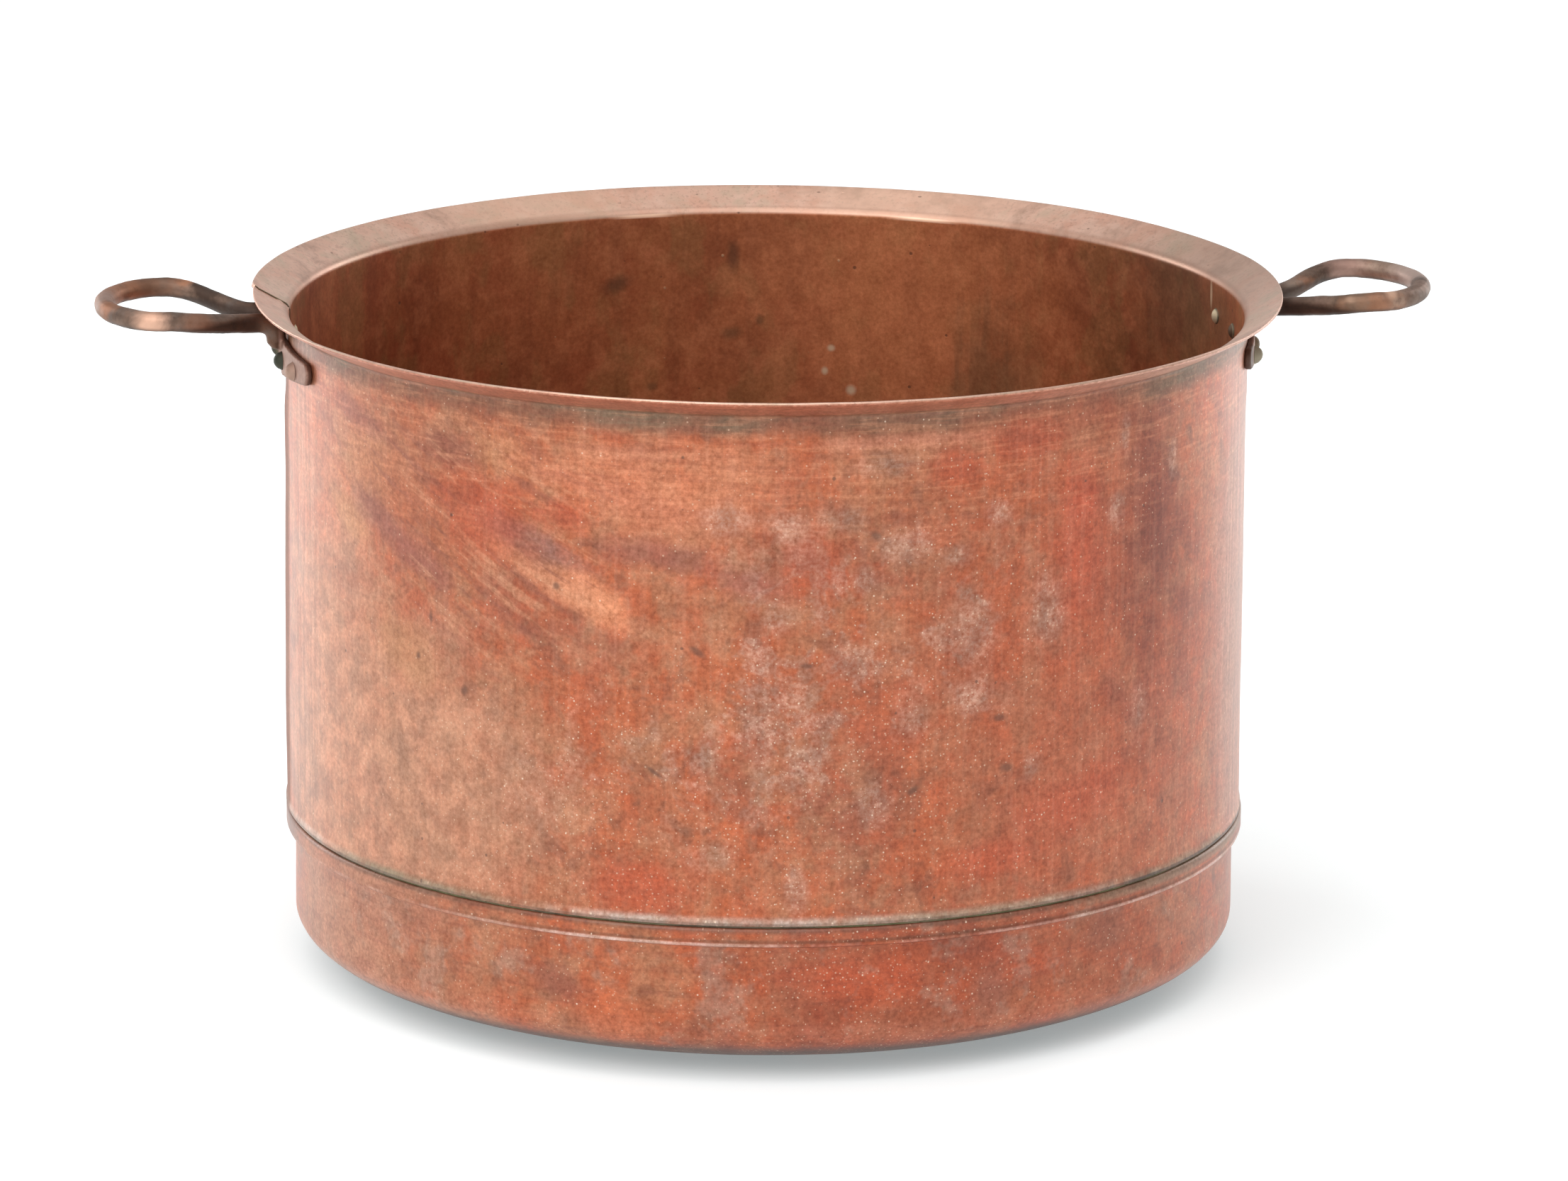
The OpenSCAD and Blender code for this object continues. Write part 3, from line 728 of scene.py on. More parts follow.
# Painted reflection: the flare's top is painted pale for the bright light above reflected in it; the
# blotches, grain and pits in it are its own
flare_reflection_tone = inner.ramp(inner.clouds(19, 4.0, 0.7, warp=0.4), (0.36, (190, 152, 132)),
                        (0.50, (228, 184, 162)), (0.64, (208, 180, 156)))
far_side = patches(inner, [(66, edge_z, 0.22, 0.6), (114, edge_z, 0.18, 0.6)])
right_side = patch(inner, 12, edge_z, 0.34, 0.6, None, 0.9)
bend_shade = inner_z.band(bend_mid_z, 0.0006, 0.0014, 0.0036, 0.0058)
# Painted shade: the rim's rounded edge is painted darker at the sides, against the highlight it catches
# there, and kept bright at the front
front_edge_kept_bright = patch(inner, 262, edge_z, 0.9, 0.6, None, 1.0)
rim_edge_painted_shade = radius_of(inner).between(edge_r - 0.0002, edge_r + 0.0005) * (1 - front_edge_kept_bright)
flare_layers = [(inner_red * 0.5, (226, 166, 140)),
                (inner_fine.between(0.45, 0.66) * 0.5, (236, 198, 178)),
                (inner_grain.between(0.48, 0.32) * 0.3, (160, 120, 104)),
                (far_side * 0.45, (244, 200, 172)), (right_side * 0.55, (166, 134, 114)),
                (inner_pits * 0.6, (110, 78, 64)), (bend_shade * 0.5, (158, 118, 98)),
                (rim_edge_painted_shade * 0.6, (150, 112, 96))]
for mask, tone in flare_layers:
    flare_reflection_tone = inner.mix(mask, flare_reflection_tone, tone)
inner.lay(flare_top, flare_reflection_tone)
# Painted highlight: a near white tone laid on the bend in two places
bend_highlight_places = patches(inner, [(99.7, bend_mid_z, 0.050, 0.3), (63.8, bend_mid_z, 0.056, 0.3)])
bend_painted_highlight = inner_z.band(bend_mid_z, -0.0006, 0.0004, 0.0014, 0.0024) * bend_highlight_places
inner.lay(bend_painted_highlight * 0.9, (255, 214, 184))
inner.surface(inner.blend(flare_top, 0.55, 0.44) + (inner_fine - 0.5) * 0.14,
              inner.blend(flare_top, 0.7, 0.85),
              inner_fine * 0.06 + inner_grain * 0.03 + inner_lime * 0.1 - inner_pits * 0.1)

flare_faces_up = 0.2
shell.data.materials.append(outside.material)
shell.data.materials.append(inner.material)
for face in shell.data.polygons:
    x, y, z = face.center
    outward = face.normal.x * x + face.normal.y * y
    on_flare_top = z > bend_mid_z and face.normal.z > flare_faces_up
    on_inner_wall = outward < 0 and math.hypot(x, y) < wall_r - sheet / 2
    face.material_index = 1 if on_flare_top or on_inner_wall else 0
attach(shell, "root")
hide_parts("shell")


# ---------------------------------------------------------------------------------------
# Pan. Raised from one disc of copper: a spigot that slides up inside the shell, a swaged
# bead that the shell's lower edge meets, and a wall that turns in to the flat base. The
# bead's rib is worn flat at the left and at the right end.
# ---------------------------------------------------------------------------------------
pan_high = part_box("pan")[1]
seam_low, seam_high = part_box("pan_seam_solder")
bead_face = pan_high.y
bead_tall = 0.0105
bead_top = seam_low.z
bead_low = bead_top - bead_tall
bead_round = 0.0016
bead_inner = bead_face - 0.0034
pan_wall = wall_r - 0.0037
corner_wide, corner_tall = 0.098, 0.031
spigot_r = wall_r - sheet - 0.0001
spigot_inner = spigot_r - sheet
spigot_round = 0.0006
corner_steps = 26
base_rings = [0.02 * i for i in range(9)]


def corner_at(share, inset):
    """A point of the rounded corner: share 0 is the wall, 1 the flat base."""
    angle = share * math.pi / 2
    normal = Vector((math.cos(angle) / corner_wide, -math.sin(angle) / corner_tall)).normalized()
    return (pan_wall - corner_wide + corner_wide * math.cos(angle) - inset * normal.x,
            corner_tall - corner_tall * math.sin(angle) - inset * normal.y)


# The bead's lower half, with the rib, is given from its face and its lower edge, and its
# upper half, with the shoulder under the seam, from its face and its top
rib_curve = [(-0.0012, -0.0004), (-0.0001, 0.0003), (0.0, 0.0010), (-0.0001, 0.0016), (-0.0004, 0.0024),
             (-0.0006, 0.0036), (-0.0005, 0.0054)]
shoulder_curve = [(-0.0002, -0.0030), (-0.0003, -bead_round), (-0.0008, -0.0006), (-bead_round, 0.0)]
pan_outer = [(ring, 0.0) for ring in base_rings]
pan_outer += [corner_at(i / corner_steps, 0.0) for i in range(corner_steps, -1, -1)]
pan_outer += straight((pan_wall, corner_tall + 0.004), (pan_wall, bead_low - 0.003), 10)
pan_outer += [(pan_wall, bead_low - 0.003), (pan_wall + 0.0006, bead_low - 0.0015)]
pan_outer += [(bead_face + out, bead_low + rise) for out, rise in rib_curve]
pan_outer += [(bead_face + out, bead_top + rise) for out, rise in shoulder_curve] + [(spigot_r, bead_top)]
pan_outer += straight((spigot_r, bead_top + 0.003), (spigot_r, pan_high.z - 0.001), 6)
pan_outer += [(spigot_r, pan_high.z - spigot_round), (spigot_r - spigot_round, pan_high.z)]
pan_inner = [(spigot_inner + spigot_round, pan_high.z), (spigot_inner, pan_high.z - spigot_round)]
pan_inner += straight((spigot_inner, pan_high.z - 0.002), (spigot_inner, bead_top), 6)
pan_inner += [(spigot_inner, bead_top), (bead_inner, bead_top - 0.0036), (bead_inner, bead_low + 0.0026),
              (pan_wall - sheet, bead_low - 0.001)]
pan_inner += straight((pan_wall - sheet, bead_low - 0.004), (pan_wall - sheet, corner_tall + 0.004), 8)
pan_inner += [corner_at(i / corner_steps, sheet) for i in range(corner_steps + 1)]
pan_inner += [(ring, sheet) for ring in base_rings[::-1]]

pan_dents = [(0.0007, 9, 31), (0.00028, 26, 13), (0.00006, 75, 4)]
axis_r = 0.001
still_floor = (0.12, 0.2)
worn_face = bead_face - 0.0003
worn_left_from, worn_left_to = (130, 150), (222, 246)
worn_right_from, worn_right_to = (332, 346), (20, 40)
pan = turned("copper_pan", pan_outer + pan_inner, turn_steps)
for vertex in pan.data.vertices:
    x, y, z = vertex.co
    radius = math.hypot(x, y)
    if radius < axis_r:
        continue
    dent = hills((x, y, z * 1.2), pan_dents)
    calm = 1 - ease(z, bead_low - 0.02, bead_low - 0.004)
    on_wall = ease(radius, pan_wall - 0.06, pan_wall - 0.01)
    radius += dent * calm * on_wall
    lift = abs(dent) * calm * (1 - on_wall) * ease(radius, *still_floor)
    angle = math.atan2(y, x)
    azimuth = math.degrees(angle) % 360
    worn = ease(azimuth, *worn_left_from) * (1 - ease(azimuth, *worn_left_to))
    worn += ease(azimuth, *worn_right_from) + 1 - ease(azimuth, *worn_right_to)
    if radius > bead_face - 0.001 and bead_low < z < bead_top - 0.0025:
        radius += (worn_face - radius) * worn
    vertex.co = (radius * math.cos(angle), radius * math.sin(angle), z + lift)
smooth(pan)

pan_finish = Finish("pan_copper", **old_polish)
pan_z, pan_flat, pan_fine, pan_grain, pan_ragged, pan_broad = sheet_patterns(pan_finish, 180)
aged_copper(pan_finish, 6.3)
pan_red = patch(pan_finish, 285, 0.05, 0.5, 0.3, pan_broad, 0.9)
pan_finish.lay(pan_red * 0.55, pan_finish.mix(pan_fine, (138, 56, 32), (164, 70, 40)))
pan_tan = patch(pan_finish, 205, 0.05, 0.28, 0.36, pan_broad)
pan_finish.lay(pan_tan * 0.7, pan_finish.mix(pan_fine, (172, 118, 90), (188, 132, 102)))
flames = [(246, 0.035, 0.09, 0.04, 12, (196, 96, 54)), (276, 0.060, 0.10, 0.04, 0, (194, 84, 46)),
          (239, 0.052, 0.05, 0.03, 20, (130, 70, 58)), (308, 0.072, 0.06, 0.04, 0, (134, 78, 60)),
          (292, 0.045, 0.03, 0.06, 0, (142, 92, 74)), (298, 0.06, 0.05, 0.03, 0, (190, 86, 50))]
stains(pan_finish, flames, 0.55, pan_ragged)
pan_bloom = pan_finish.clouds(26, 4.0, 0.7, pan_finish.moved(2.2, 4.4, 6.6)).between(0.54, 0.66)
pan_finish.lay(pan_bloom * 0.4, (164, 132, 112))
# Painted reflection: a paler band where the wall turns in to the base, for the floor reflected there
turn_floor_reflection = pan_z.band(0.0, 0.020, 0.026, 0.030, 0.040) * (0.6 + pan_ragged * 1.6)
pan_finish.lay(turn_floor_reflection.clamp() * 0.25, (196, 136, 112))
# Painted shade: the lowest band, where the pan turns under towards the floor, is painted dark brown
base_edge_painted_shade = (pan_z.between(0.0235, 0.0155) * (0.95 + pan_ragged * 1.4)).clamp()
pan_finish.lay(base_edge_painted_shade * 0.9, (74, 48, 36))

# The swage: a rib below, rubbed bright and painted brighter as a highlight where it catches the light, and
# dirt in the hollow above it and under the seam
# Rubbed copper and painted highlight: the bright line along the rib
rib_wear_and_highlight = pan_z.band(bead_low, -0.0012, 0.0002, 0.0013, 0.0024)
rib_kept = pan_finish.clouds(6, 2.0, 0.5, pan_finish.moved(4, 1, 7)).between(0.42, 0.54)
rib_worn = (patch(pan_finish, 205, bead_low, 0.42, 0.6)
            + patch(pan_finish, 3, bead_low, 0.24, 0.6, None, 0.7)).clamp()
rib_wear_and_highlight = (rib_wear_and_highlight * (rib_kept * 0.8 + pan_ragged * 2.4 - rib_worn * 0.7)).clamp()
groove = pan_z.band(bead_low, 0.0014, 0.0024, 0.0030, 0.0046)
groove = (groove * (0.85 + pan_ragged * 1.4 - rib_worn * 0.8)).clamp()
seam_dirt = (pan_z.between(bead_top - 0.0036, bead_top - 0.0012) * (0.85 + pan_ragged * 1.6)).clamp()
pan_finish.lay(groove * 0.6, (96, 62, 46))
pan_finish.lay(rib_wear_and_highlight * 0.8, (220, 192, 180))
bead_grey = patch(pan_finish, 184, bead_top - 0.005, 0.09, 0.04)
pan_finish.lay(bead_grey * 0.6, (116, 98, 88))
pan_finish.lay(seam_dirt * 0.6, (84, 66, 54))
bead_dirt = patch(pan_finish, 328, bead_top, 0.42, 0.5, pan_ragged, 0.7)
bead_dirt = bead_dirt * pan_z.between(bead_top - 0.0064, bead_top - 0.0036)
pan_finish.lay(bead_dirt * 0.65, (134, 110, 86))

# Lines rubbed round the pan, mottles, lime and pits, as on the shell
pan_lines = pan_finish.drawn_out(pan_flat, (24, 300))
pan_finish.lay(pan_lines.between(0.52, 0.70) * 0.25, (128, 62, 44))
mottled(pan_finish, pan_fine, pan_grain)
pan_field = patch(pan_finish, 268, 0.05, 0.50, 0.26, pan_broad, 0.9) * 0.36 + 0.04
pan_lime, pan_pits = limed(pan_finish, pan_flat, pan_fine, pan_field, (2.3, 6.7, 12.1),
                           (240, 214, 190), (220, 178, 150))
pan_dull = (pan_bloom * 0.5 + base_edge_painted_shade * 0.6 + seam_dirt * 0.8 + pan_lime * 0.8).clamp()
pan_finish.surface(pan_finish.blend(pan_dull, 0.49 + (pan_fine - 0.5) * 0.16, 0.72),
                   pan_finish.blend(pan_dull, 0.85, 0.25),
                   pan_fine * 0.06 + pan_grain * 0.03 + pan_lime * 0.1 - pan_pits * 0.12)
pan.data.materials.append(pan_finish.material)
pan.data.materials.append(inner.material)
floor_faces_up = 0.3
for face in pan.data.polygons:
    x, y, z = face.center
    outward = face.normal.x * x + face.normal.y * y
    on_floor = face.normal.z > floor_faces_up and z < corner_tall
    if on_floor or (outward < 0 and z > sheet / 2 and face.normal.z > -floor_faces_up):
        face.material_index = 1
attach(pan, "root")
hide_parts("pan")


# ---------------------------------------------------------------------------------------
# Solder of the pan seam. Tin solder was run into the open joint under the shell's lower
# edge and wiped off, so it lies unevenly, grey where it is clean and green where it isn't.
# ---------------------------------------------------------------------------------------
ring_mid_r = (spigot_r + seam_high.y) / 2
ring_mid_z = (seam_low.z + seam_high.z) / 2
ring_half_r = (seam_high.y - spigot_r) / 2
ring_fullness = 1.15
ring_half_z = (seam_high.z - seam_low.z) / 2 * ring_fullness
ring_turns = [i * math.pi / 5 for i in range(10)]
ring_section = [(ring_mid_r + ring_half_r * math.cos(turn), ring_mid_z + ring_half_z * math.sin(turn))
                for turn in ring_turns]
ring_swell, ring_waves = 0.00045, [(0.00045, 40, 3), (0.0003, 160, 9)]
seam_ring = turned("pan_seam_solder_run", ring_section, 2 * turn_steps)
for vertex in seam_ring.data.vertices:
    x, y, z = vertex.co
    if math.hypot(x, y) > ring_mid_r:
        grow = 1 + (ring_swell + hills((x, y, z), ring_waves)) / ring_mid_r
        vertex.co = (x * grow, y * grow, z)
smooth(seam_ring, 60)

solder = Finish("old_solder", Specular_IOR_Level=0.4)
solder.colour = solder.ramp(solder.clouds(9, 5.0, 0.65, warp=0.5), (0.36, (76, 62, 50)),
                            (0.47, (108, 96, 78)), (0.56, (112, 110, 76)), (0.68, (132, 120, 98)))
solder_fine = solder.clouds(140, 4.0, 0.7)
solder.lay(solder_fine.between(0.5, 0.7) * 0.5, (58, 48, 36))
solder.surface(0.6 + solder_fine * 0.2, 0.25, solder_fine * 0.15)
seam_ring.data.materials.append(solder.material)
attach(seam_ring, "root")
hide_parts("pan_seam_solder")


# ---------------------------------------------------------------------------------------
# Solder of the side seam. The lap of the sheet was sweated full, and a thin line of
# solder shows along each end: outside below the handle, and inside up over the flare.
# ---------------------------------------------------------------------------------------
line_half = 0.0007
line_thick = 0.0003
line_crown = 0.0002
past_end = 0.03
outer_lift, inner_lift, flare_lift = 0.0003, 0.0001, 0.0004


def joined(parts):
    """Joins parts to one mesh, under the first one's name."""
    bpy.ops.object.select_all(action="DESELECT")
    for part in parts:
        part.select_set(True)
    bpy.context.view_layer.objects.active = parts[0]
    bpy.ops.object.join()
    return bpy.context.object


def seam_line(points, name):
    """A thin strip of solder laid along points, each with the way it faces and its width's way."""
    bpy.ops.object.select_all(action="DESELECT")
    bpy.ops.mesh.primitive_grid_add(x_subdivisions=2, y_subdivisions=len(points) - 1, size=0.01)
    strip = bpy.context.object
    strip.name = strip.data.name = name
    for i, vertex in enumerate(strip.data.vertices):
        place, across, face = points[i // 3]
        side = i % 3 - 1
        uneven = 1 + 0.5 * ripple(place, 60, 5)
        vertex.co = place + across * (side * line_half * uneven) + face * (line_crown if side == 0 else 0.0)
    thick = strip.modifiers.new("thickness", "SOLIDIFY")
    thick.thickness, thick.offset = line_thick, 0
    bpy.ops.object.modifier_apply(modifier=thick.name)
    smooth(strip, 60)
    return strip


def seam_point(end, radius, height, inside, normal, lift):
    """A place just past the sheet's end, lifted off its face, with the ways across and out.
    The normal is given as (outward, up)."""
    azimuth, radius, height = worked(end + past_end, radius, height, inside)
    angle, end_angle = math.radians(azimuth), math.radians(end)
    across = Vector((-math.sin(end_angle), math.cos(end_angle), 0))
    face = Vector((math.cos(end_angle) * normal[0], math.sin(end_angle) * normal[0], normal[1]))
    place = Vector((radius * math.cos(angle), radius * math.sin(angle), height))
    return place + face * lift, across, face


outer_points = [seam_point(outer_end, r, z, False, (1, 0), outer_lift)
                for r, z in outer_line[3:] if z < foot_clear_z + 0.012]
inner_points = []
flare_face = (-math.sin(flare_slope), math.cos(flare_slope))
for r, z in inner_line[1:] + [(edge_r, edge_z + sheet / 2)]:
    if z > bend_mid_z:
        inner_points.append(seam_point(inner_end, r, z, True, flare_face, flare_lift))
    elif z > bead_top + 0.03:
        inner_points.append(seam_point(inner_end, r, z, True, (-1, 0), inner_lift))
side_seam = joined([seam_line(outer_points, "side_seam_solder_run"),
                    seam_line(inner_points, "side_seam_inner_run")])
side_seam.data.materials.append(solder.material)
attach(side_seam, "root")
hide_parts("side_seam_solder")


# ---------------------------------------------------------------------------------------
# Handles. Each is one 12 mm bar, forged hot to an open eye. Its two ends were drawn down
# under the flare, hammered out to leaf shaped feet and bent to the curve of the wall.
# ---------------------------------------------------------------------------------------
handle_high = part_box("handle_right")[1]
rod_r = 0.006
eye_tip = handle_high.x - rod_r
eye_z = handle_high.z - rod_r
eye_wide = 0.0475
shoulder_x = wall_r + 0.0685
shoulder_r = 0.0295
shoulder_y = eye_wide - shoulder_r
shoulder_turn = math.radians(126)
reach = eye_tip - shoulder_x
crown_r = (reach ** 2 + shoulder_y ** 2 - shoulder_r ** 2) / (2 * (reach - shoulder_r))
crown_x = eye_tip - crown_r
crown_turn = math.atan2(shoulder_y, shoulder_x - crown_x)
crown_steps, shoulder_steps = 8, 14
bend_under_z = bend_mid_z + bend_r * math.tan(math.pi / 4 - flare_slope / 2)
leg_y = 0.013
leg_fall = 0.053
foot_z = bend_under_z - 0.021
foot_thick = 0.004
foot_seat = wall_r + 0.00005
foot_root, foot_end = 0.015, 0.073
foot_root_r, foot_end_r = 0.0105, 0.0065
foot_lift = 0.0025


def bezier(a, b, c, d, steps):
    points = []
    for i in range(1, steps + 1):
        t = i / steps
        points.append(a * (1 - t) ** 3 + 3 * b * t * (1 - t) ** 2 + 3 * c * t * t * (1 - t) + d * t ** 3)
    return points


# Half of the bar's line: round the crown and the shoulder of the eye, in under the flare,
# down by the neck and against the wall
half_bar = []
for i in range(crown_steps + 1):
    turn = crown_turn * i / crown_steps
    half_bar.append(Vector((crown_x + crown_r * math.cos(turn), crown_r * math.sin(turn), eye_z)))
for i in range(1, shoulder_steps + 1):
    turn = crown_turn + (shoulder_turn - crown_turn) * i / shoulder_steps
    half_bar.append(Vector((*polar((shoulder_x, shoulder_y), shoulder_r, turn), eye_z)))
leg_top = half_bar[-1].copy()
leg_way = Vector((-math.sin(shoulder_turn), math.cos(shoulder_turn), 0)) * 0.013
neck = Vector((wall_r + 0.0165, leg_y + 0.0012, bend_under_z - 0.0008))
neck_way = Vector((-0.97, -0.14, -0.16)).normalized()
wall_leg = Vector((wall_r + rod_r + 0.0005, leg_y, foot_z + foot_root_r - 0.001))
wall_way = Vector((0, 0, 0.007))
half_bar += bezier(leg_top, leg_top + leg_way, neck - neck_way * 0.014, neck, 10)
for point in half_bar:
    point.z = neck.z + (eye_z - neck.z) * ease(point.x, neck.x, neck.x + leg_fall)
half_bar += bezier(neck, neck + neck_way * 0.0075, wall_leg + wall_way, wall_leg, 8)

# The bar's end, drawn thin so that it runs out in the root of a foot
bar_end = Vector((wall_r + foot_thick / 2, leg_y, wall_leg.z - 0.005))
half_bar += [wall_leg.lerp(bar_end, 0.35) + Vector((0.0006, 0, 0)),
             wall_leg.lerp(bar_end, 0.7) + Vector((0.0005, 0, 0)), bar_end]
end_r = foot_thick / 2 - 0.0003
end_shares = (0.3, 0.68, 1.0)
half_thick = [rod_r] * (len(half_bar) - 3) + [rod_r + (end_r - rod_r) * share for share in end_shares]
bar = [Vector((p.x, -p.y, p.z)) for p in half_bar[:0:-1]] + half_bar
bar_thick = half_thick[:0:-1] + half_thick


def forged_bar(name):
    """The bar along its bent line, as a mesh."""
    line = bpy.data.curves.new(name, "CURVE")
    line.dimensions = "3D"
    line.bevel_depth = 1.0
    line.bevel_resolution = 4
    line.use_fill_caps = True
    spline = line.splines.new("POLY")
    spline.points.add(len(bar) - 1)
    for point, place, thick in zip(spline.points, bar, bar_thick):
        point.co = (*place, 1)
        point.radius = thick
    piece = bpy.data.objects.new(name, line)
    bpy.context.scene.collection.objects.link(piece)
    bpy.ops.object.select_all(action="DESELECT")
    piece.select_set(True)
    bpy.context.view_layer.objects.active = piece
    bpy.ops.object.convert(target="MESH")
    return bpy.context.object


def leaf_width(along):
    """Half the width of a foot at a distance from the middle of the handle, along the wall."""
    share = (along - foot_root) / (foot_end - foot_root)
    if share < 0:
        return math.sqrt(max(0.0, foot_root_r ** 2 - (along - foot_root) ** 2))
    if share > 1:
        return math.sqrt(max(0.0, foot_end_r ** 2 - (along - foot_end) ** 2))
    return foot_root_r + (foot_end_r - foot_root_r) * share


def forged_foot(name, side):
    """One leaf shaped foot, bent to the wall. Side is 1 or -1 along Y."""
    bpy.ops.object.select_all(action="DESELECT")
    bpy.ops.mesh.primitive_grid_add(x_subdivisions=48, y_subdivisions=12, size=2)
    foot = bpy.context.object
    foot.name = name
    first, last = foot_root - foot_root_r, foot_end + foot_end_r
    middle_r = foot_seat + foot_thick / 2
    for vertex in foot.data.vertices:
        share = 0.5 - 0.5 * math.cos(math.pi * (vertex.co.x + 1) / 2)
        along = first + (last - first) * share
        wide = leaf_width(along) * vertex.co.y
        rise = foot_lift * max(0.0, (along - foot_root) / (foot_end - foot_root))
        angle = side * along / wall_r
        vertex.co = (middle_r * math.cos(angle), middle_r * math.sin(angle), foot_z + rise + wide)
    thick = foot.modifiers.new("thickness", "SOLIDIFY")
    thick.thickness, thick.offset = foot_thick * 0.98, 0
    bpy.ops.object.modifier_apply(modifier=thick.name)
    return foot


def kept_within(piece, low, high):
    """Moves what stands out of a box back to its side."""
    for vertex in piece.data.vertices:
        vertex.co = [min(max(v, a), b) for v, a, b in zip(vertex.co, low, high)]


weld_voxel = 0.0008
ease_share, ease_turns = 0.5, 6
facets = [(0.00035, 70), (0.00012, 240)]
skin_loss = 0.0002
wall_calm = 0.9


def forged_handle(name, node, seed, half_turn):
    """Bar and feet welded to one piece, with the flats of the hammer on its face."""
    handle = joined([forged_bar(name), forged_foot(name + "_a", 1), forged_foot(name + "_b", -1)])
    handle.name = handle.data.name = name
    bpy.ops.object.mode_set(mode="EDIT")
    bpy.ops.mesh.select_all(action="SELECT")
    bpy.ops.mesh.remove_doubles(threshold=merge_below)
    bpy.ops.mesh.normals_make_consistent(inside=False)
    bpy.ops.object.mode_set(mode="OBJECT")
    weld = handle.modifiers.new("weld", "REMESH")
    weld.mode, weld.voxel_size = "VOXEL", weld_voxel
    bpy.ops.object.modifier_apply(modifier=weld.name)
    ease_off = handle.modifiers.new("ease", "SMOOTH")
    ease_off.factor, ease_off.iterations = ease_share, ease_turns
    bpy.ops.object.modifier_apply(modifier=ease_off.name)
    waves = [(depth, scale, seed) for depth, scale in facets]
    outward = [vertex.normal.copy() for vertex in handle.data.vertices]
    for vertex, way in zip(handle.data.vertices, outward):
        x, y, z = vertex.co
        on_wall = 1 - ease(math.hypot(x, y), wall_r + 0.0035, wall_r + 0.006)
        vertex.co += way * ((hills((x, y, z), waves) - skin_loss) * (1 - wall_calm * on_wall))
    if half_turn:
        handle.data.transform(Matrix.Rotation(math.pi, 4, "Z"))
    kept_within(handle, *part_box(node))
    smooth(handle, 60)
    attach(handle, "root")
    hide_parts(node)
    return handle


right_handle = forged_handle("forged_handle_right", "handle_right", 43, False)
left_handle = forged_handle("forged_handle_left", "handle_left", 17, True)

forged = Finish("forged_bar", Specular_IOR_Level=0.5)
scale_clouds = forged.clouds(26, 6.0, 0.65, warp=0.4)
forged.colour = forged.ramp(scale_clouds, (0.36, (78, 60, 50)), (0.47, (110, 88, 75)),
                            (0.56, (132, 106, 92)), (0.66, (160, 136, 120)))
rubbed = forged.clouds(12, 5.0, 0.6, forged.moved(5, 1, 2)).between(0.52, 0.62)
forged.lay(rubbed * 0.55, (182, 122, 88))
grey_scale = forged.clouds(40, 6.0, 0.7, forged.moved(9, 4, 2)).between(0.5, 0.66)
forged.lay(grey_scale * 0.45, (112, 104, 98))
bar_fine = forged.clouds(220, 5.0, 0.7)
forged.lay(bar_fine.between(0.5, 0.75) * 0.4, (60, 46, 40))
bar_from_axis = radius_of(forged)
# Painted shade: the bars are painted darker where they run in under the rim
under_rim_painted_shade = bar_from_axis.between(0.325, 0.296)
forged.lay(under_rim_painted_shade * 0.6, (56, 46, 40))
on_foot = bar_from_axis.between(0.2866, 0.2848)
foot_tone = forged.mix(bar_fine.between(0.4, 0.7), (150, 114, 100), (178, 142, 126))
forged.lay(on_foot * 0.8, foot_tone)

# Marks on the bars: bright places where hands and sticks have rubbed them, some of them
# also painted highlights on the bars' lit tops, and darker grime; then painted shade below
# the bars, and grime and painted shade round the feet. Each mark has its place, its height
# over the bar's middle, its size and its tone
bar_marks_and_highlights = [(-0.3595, -0.047, 0, 0.012, (248, 198, 170)), (-0.334, 0.047, 0.003, 0.008, (206, 142, 104)),
             (-0.333, -0.047, 0, 0.013, (140, 98, 76)), (-0.384, 0.0, 0, 0.022, (156, 132, 122)),
             (0.335, -0.049, 0.003, 0.004, (230, 186, 158)), (0.359, -0.046, 0.003, 0.005, (226, 186, 160)),
             (0.338, -0.047, 0, 0.017, (124, 100, 82)), (0.384, 0.008, 0.002, 0.024, (192, 170, 160)),
             (0.345, 0.047, 0.003, 0.018, (166, 132, 120)), (-0.355, 0.047, 0.003, 0.018, (94, 68, 54))]
for x, y, over, size, tone in bar_marks_and_highlights:
    closeness = forged.ball((x, y, eye_z + over), (0, 0, 0), (2 * size, 2 * size, 2 * size))
    mark = (closeness + (scale_clouds - 0.5) * 0.7).between(0.42, 0.9)
    forged.lay(mark * 0.7, tone)
bar_z = height_of(forged)
# Painted shade: the undersides of the bars, out from the wall, are painted dark
below = (bar_z.between(eye_z - 0.0022, eye_z - 0.0056)
         * bar_from_axis.between(wall_r + 0.012, wall_r + 0.02))
forged.lay(below * 0.75, (54, 40, 34))
# Grime and painted shade: a dark edge round the feet where they meet the wall
foot_edge_grime_and_shade = (bar_from_axis.between(wall_r + 0.0034, wall_r + 0.0018)
              + patch(forged, 345, foot_z + 0.002, 0.03, 0.06, None, 0.7))
forged.lay(foot_edge_grime_and_shade.clamp() * 0.7, (62, 48, 40))
forged.surface(0.44 + bar_fine * 0.2, 0.7 - grey_scale * 0.3, bar_fine * 0.12 + scale_clouds * 0.25)
for handle in (right_handle, left_handle):
    handle.data.materials.append(forged.material)


# ---------------------------------------------------------------------------------------
# Rivets. Four copper rivets hold each handle, two through each foot. They were set from
# inside and headed over outside with a hammer, so no two heads are quite alike.
# ---------------------------------------------------------------------------------------
shank_r = 0.00275
head_r, head_tall = 0.0055, 0.005
tail_r, tail_tall = 0.00475, 0.0025
head_seat = foot_seat + foot_thick + 0.00002
tail_seat = math.sqrt((wall_r - sheet) ** 2 - tail_r ** 2) - 0.00002
cap_steps = 7


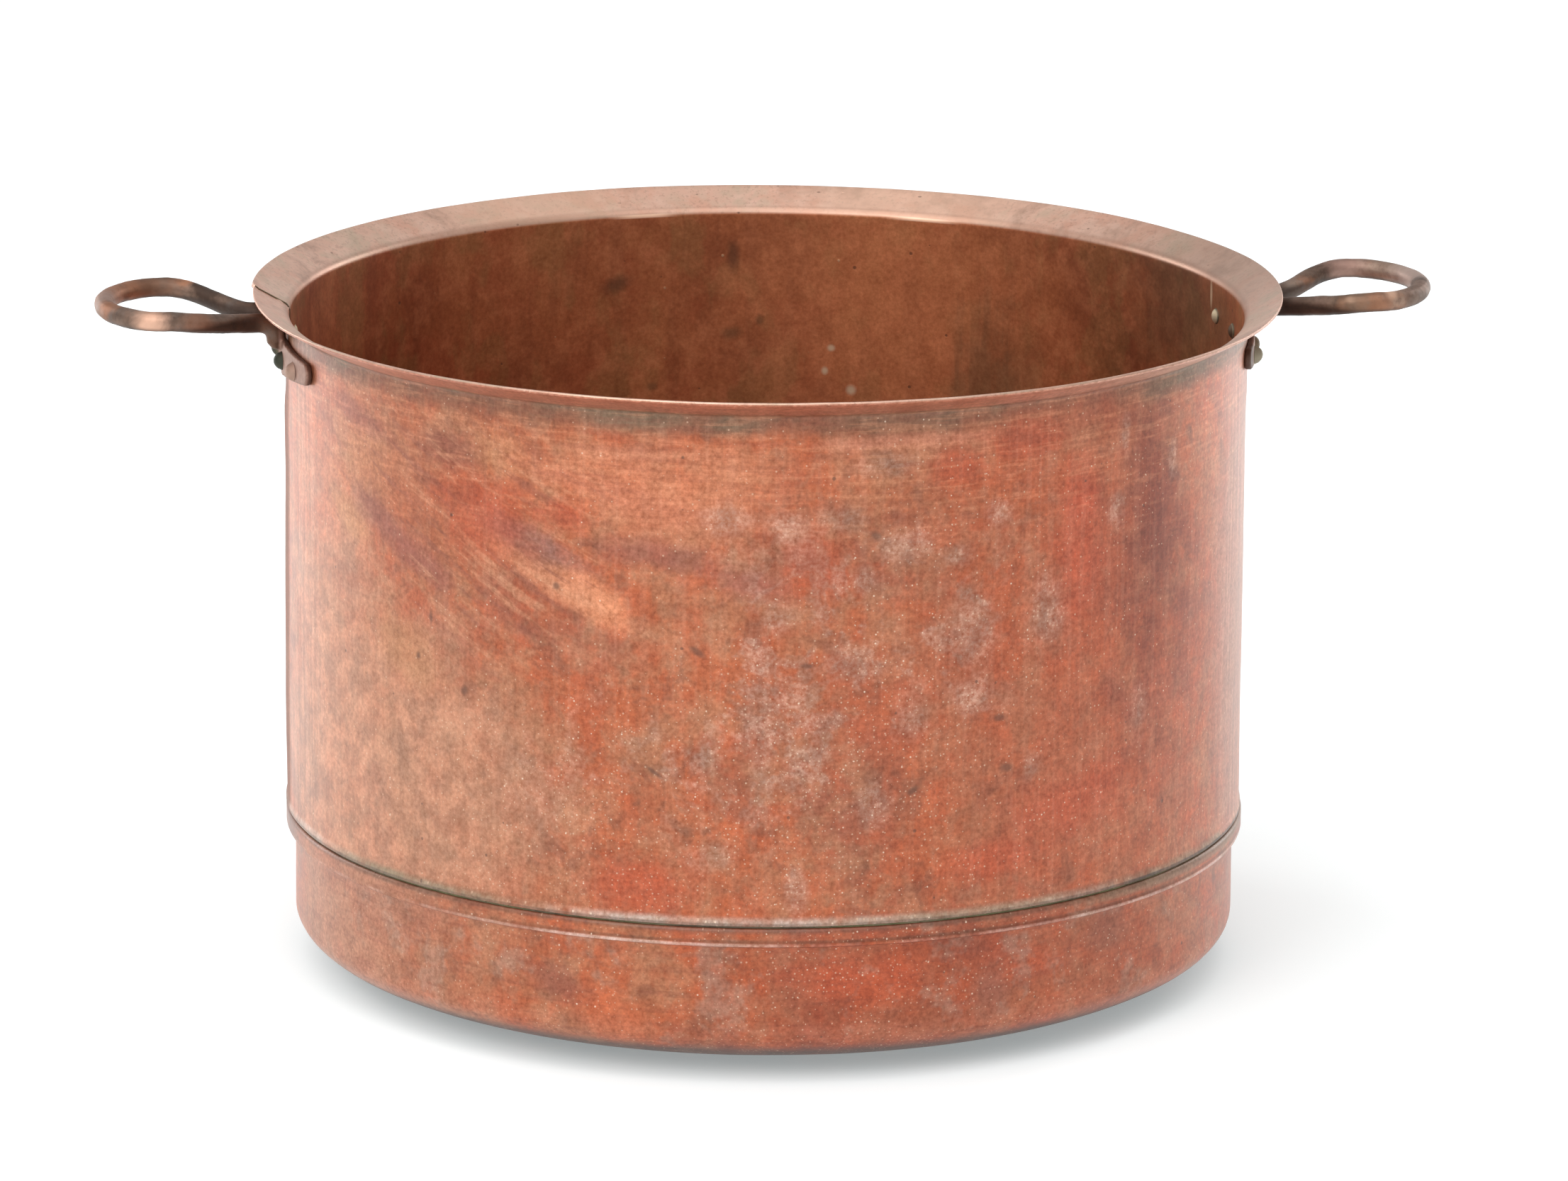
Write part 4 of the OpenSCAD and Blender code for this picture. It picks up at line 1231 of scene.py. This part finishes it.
def dome(radius, tall, seat, way):
    """Points of a cap, from its rim to its top."""
    cap_r = (radius ** 2 + tall ** 2) / (2 * tall)
    full = math.asin(radius / cap_r) if tall <= radius else math.pi - math.asin(radius / cap_r)
    points = []
    for i in range(cap_steps + 1):
        angle = full * (1 - i / cap_steps)
        points.append((cap_r * math.sin(angle), seat + way * (tall - cap_r + cap_r * math.cos(angle))))
    return points


rivet_section = (dome(tail_r, tail_tall, tail_seat, -1)[::-1] + [(shank_r, tail_seat), (shank_r, head_seat)]
                 + dome(head_r, head_tall, head_seat, 1))
rivet_finish = Finish("rivet_copper", Specular_IOR_Level=0.4)
patina = rivet_finish.clouds(90, 5.0, 0.65)
rivet_finish.colour = rivet_finish.ramp(patina, (0.34, (66, 62, 50)), (0.48, (98, 92, 74)),
                                        (0.58, (128, 104, 84)), (0.70, (162, 120, 96)))
rivet_fine = rivet_finish.clouds(400, 4.0, 0.7)
# Painted highlight: the heads inside the vessel are painted pale
inside_head = radius_of(rivet_finish).between(wall_r - sheet - 0.0003, wall_r - sheet - 0.0012)
rivet_finish.lay(inside_head * 0.8, (206, 190, 160))
# Own tones of three rivets outside; the one inside at the far right is laid dark instead, a painted shade
# that sinks it into the dark inside there
rivet_tones = [(183.7, 1 - inside_head, (58, 62, 52)), (190.8, 1 - inside_head, (176, 144, 128)),
               (349.2, 1 - inside_head, (150, 140, 120)), (3.7, inside_head, (70, 44, 28))]
for azimuth, where, tone in rivet_tones:
    one_rivet = patch(rivet_finish, azimuth, foot_z, 0.05, 0.2, None, 0.3)
    rivet_finish.lay(one_rivet * where * 0.9, tone)
rivet_finish.surface(0.5 + rivet_fine * 0.2, 0.6, rivet_fine * 0.08)

chance = random.Random(8)
rivet_along = (-0.053, -0.018, 0.018, 0.053)
rivet_z = foot_z - 0.0015
rivet_steps = 28
head_uneven, head_waves = 0.06, 300
lean_most = 0.0004
for side, half_turn in (("right", 0.0), ("left", math.pi)):
    for number, along in enumerate(rivet_along, start=1):
        node = f"rivet_{side}_{number}"
        rivet = turned(f"{node}_set", rivet_section, rivet_steps)
        place_z = rivet_z + foot_lift * (abs(along) - foot_root) / (foot_end - foot_root)
        seed = chance.uniform(0, 50)
        squash = chance.uniform(0.86, 0.98)
        lean = chance.uniform(-lean_most, lean_most)
        for vertex in rivet.data.vertices:
            x, y, z = vertex.co
            if z > head_seat + 0.0001:
                grow = 1 - head_uneven * (1 + ripple((x, y, z), head_waves, seed))
                over = z - head_seat
                lean_here = lean * over / head_tall
                vertex.co = (x * grow + lean_here, y * grow - lean_here, head_seat + over * squash)
        round_axis = Matrix.Rotation(half_turn + along / wall_r, 4, "Z")
        laid_over = Matrix.Rotation(math.pi / 2, 4, "Y")
        rivet.data.transform(Matrix.Translation((0, 0, place_z)) @ round_axis @ laid_over)
        kept_within(rivet, *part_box(node))
        smooth(rivet, 35)
        rivet.data.materials.append(rivet_finish.material)
        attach(rivet, "root")
        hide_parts(node)
